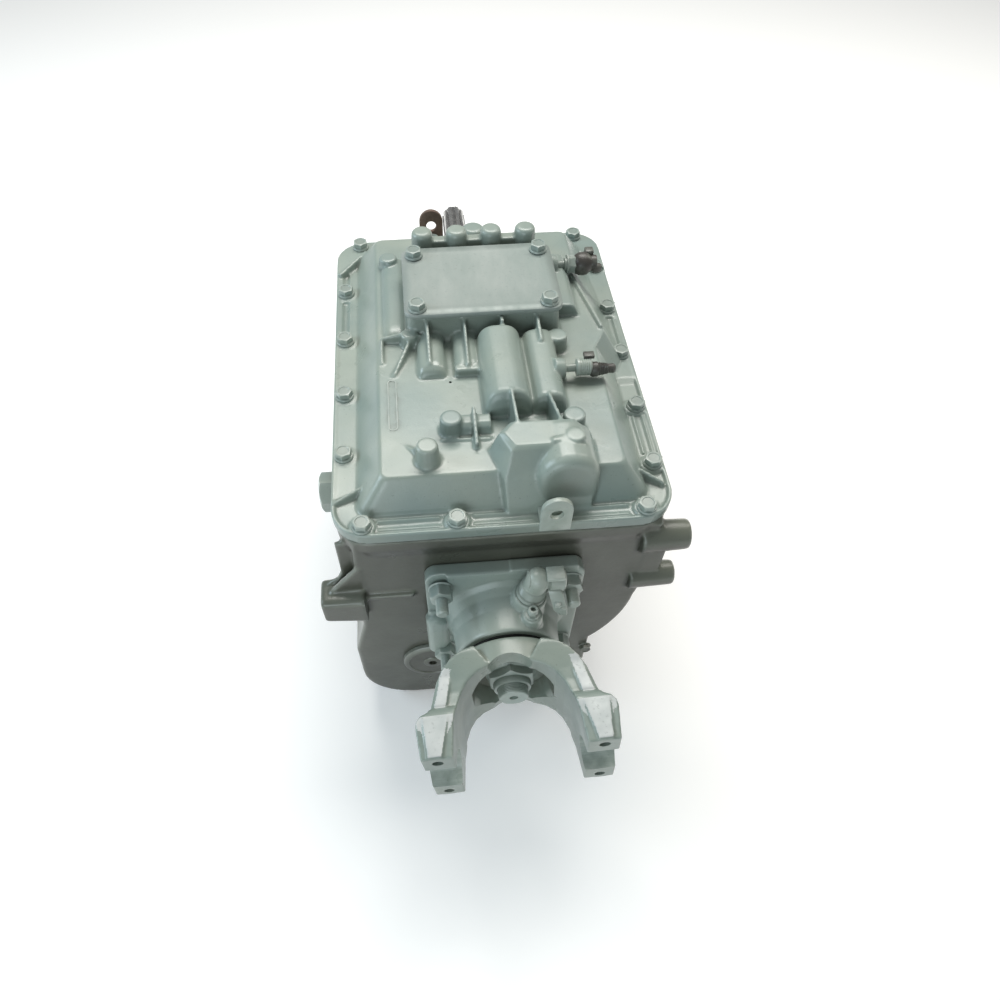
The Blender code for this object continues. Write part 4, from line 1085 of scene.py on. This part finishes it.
def stage():
    floor = bpy.data.meshes.new("floor")
    build = bmesh.new()
    reach = 8
    build.faces.new([build.verts.new((x * reach, y * reach, 0)) for x,
        y in ((-1, -1), (1, -1), (1, 1), (-1, 1))])
    build.to_mesh(floor)
    build.free()
    item = bpy.data.objects.new("floor", floor)
    bpy.context.scene.collection.objects.link(item)
    finish = Finish("floor_white")
    finish.shader.inputs["Emission Color"].default_value = (1, 1, 1, 1)
    finish.shader.inputs["Emission Strength"].default_value = 0.16
    item.data.materials.append(finish.done((0.90, 0.90, 0.89), 0.9))


def area_light(name, at, aim, size, power, colour):
    data = bpy.data.lights.new(name, "AREA")
    data.shape = "RECTANGLE"
    data.size, data.size_y = size
    data.energy = power
    data.color = colour
    lamp = bpy.data.objects.new(name, data)
    lamp.location = at
    lamp.rotation_euler = (Vector(aim) - Vector(at)).to_track_quat("-Z", "Y").to_euler()
    bpy.context.scene.collection.objects.link(lamp)


def lights():
    world = bpy.data.worlds.new("studio")
    world.use_nodes = True
    background = world.node_tree.nodes["Background"]
    background.inputs["Color"].default_value = (0.97, 1.0, 1.0, 1)
    background.inputs["Strength"].default_value = 0.30
    bpy.context.scene.world = world
    area_light("ceiling", (0.15, 1.1, 2.5), (0, 0, 0.3), (1.8, 1.2), 58, (1.0, 0.975, 0.93))
    area_light("window_left", (-2.4, 0.1, 1.5), (0, 0, 0.3), (1.2, 1.2), 30, (0.72, 0.88, 1.0))
    area_light("rear_fill", (-0.9, -2.3, 0.9), (0, -0.2, 0.25), (1.5, 0.9), 17, (0.84, 0.95, 1.0))
    area_light("strip_right", (1.8, 0.9, 1.9), (0, 0, 0.3), (0.4, 1.8), 12, (1.0, 0.96, 0.88))


def camera():
    data = bpy.data.cameras.new("camera")
    data.sensor_width = 36
    data.lens = 25.2
    data.shift_x, data.shift_y = 0.0256, 0.1002
    item = bpy.data.objects.new("camera", data)
    right = Vector((0.9963, -0.0864, -0.0004))
    down = Vector((-0.0736, -0.8455, -0.5289))
    forward = Vector((0.0453, 0.527, -0.8487))
    turn = Matrix((right, -down, -forward)).transposed().to_4x4()
    item.matrix_world = Matrix.Translation((-0.0640, -0.7146, 0.9007)) @ turn
    bpy.context.scene.collection.objects.link(item)
    bpy.context.scene.camera = item


bpy.context.scene.view_settings.view_transform = "Standard"
camera()
stage()
lights()
cover_casting()
access_plate()
cover_bolts()
pto_covers()
plugs()
lifting_eyes()
case_casting()
rear_cover()
rear_studs()
speed_sensor()
yoke()
yoke_nut()
hidden_shaft()
input_shaft()
front_retainer()
countershaft_covers()
switches()
carried_nodes()
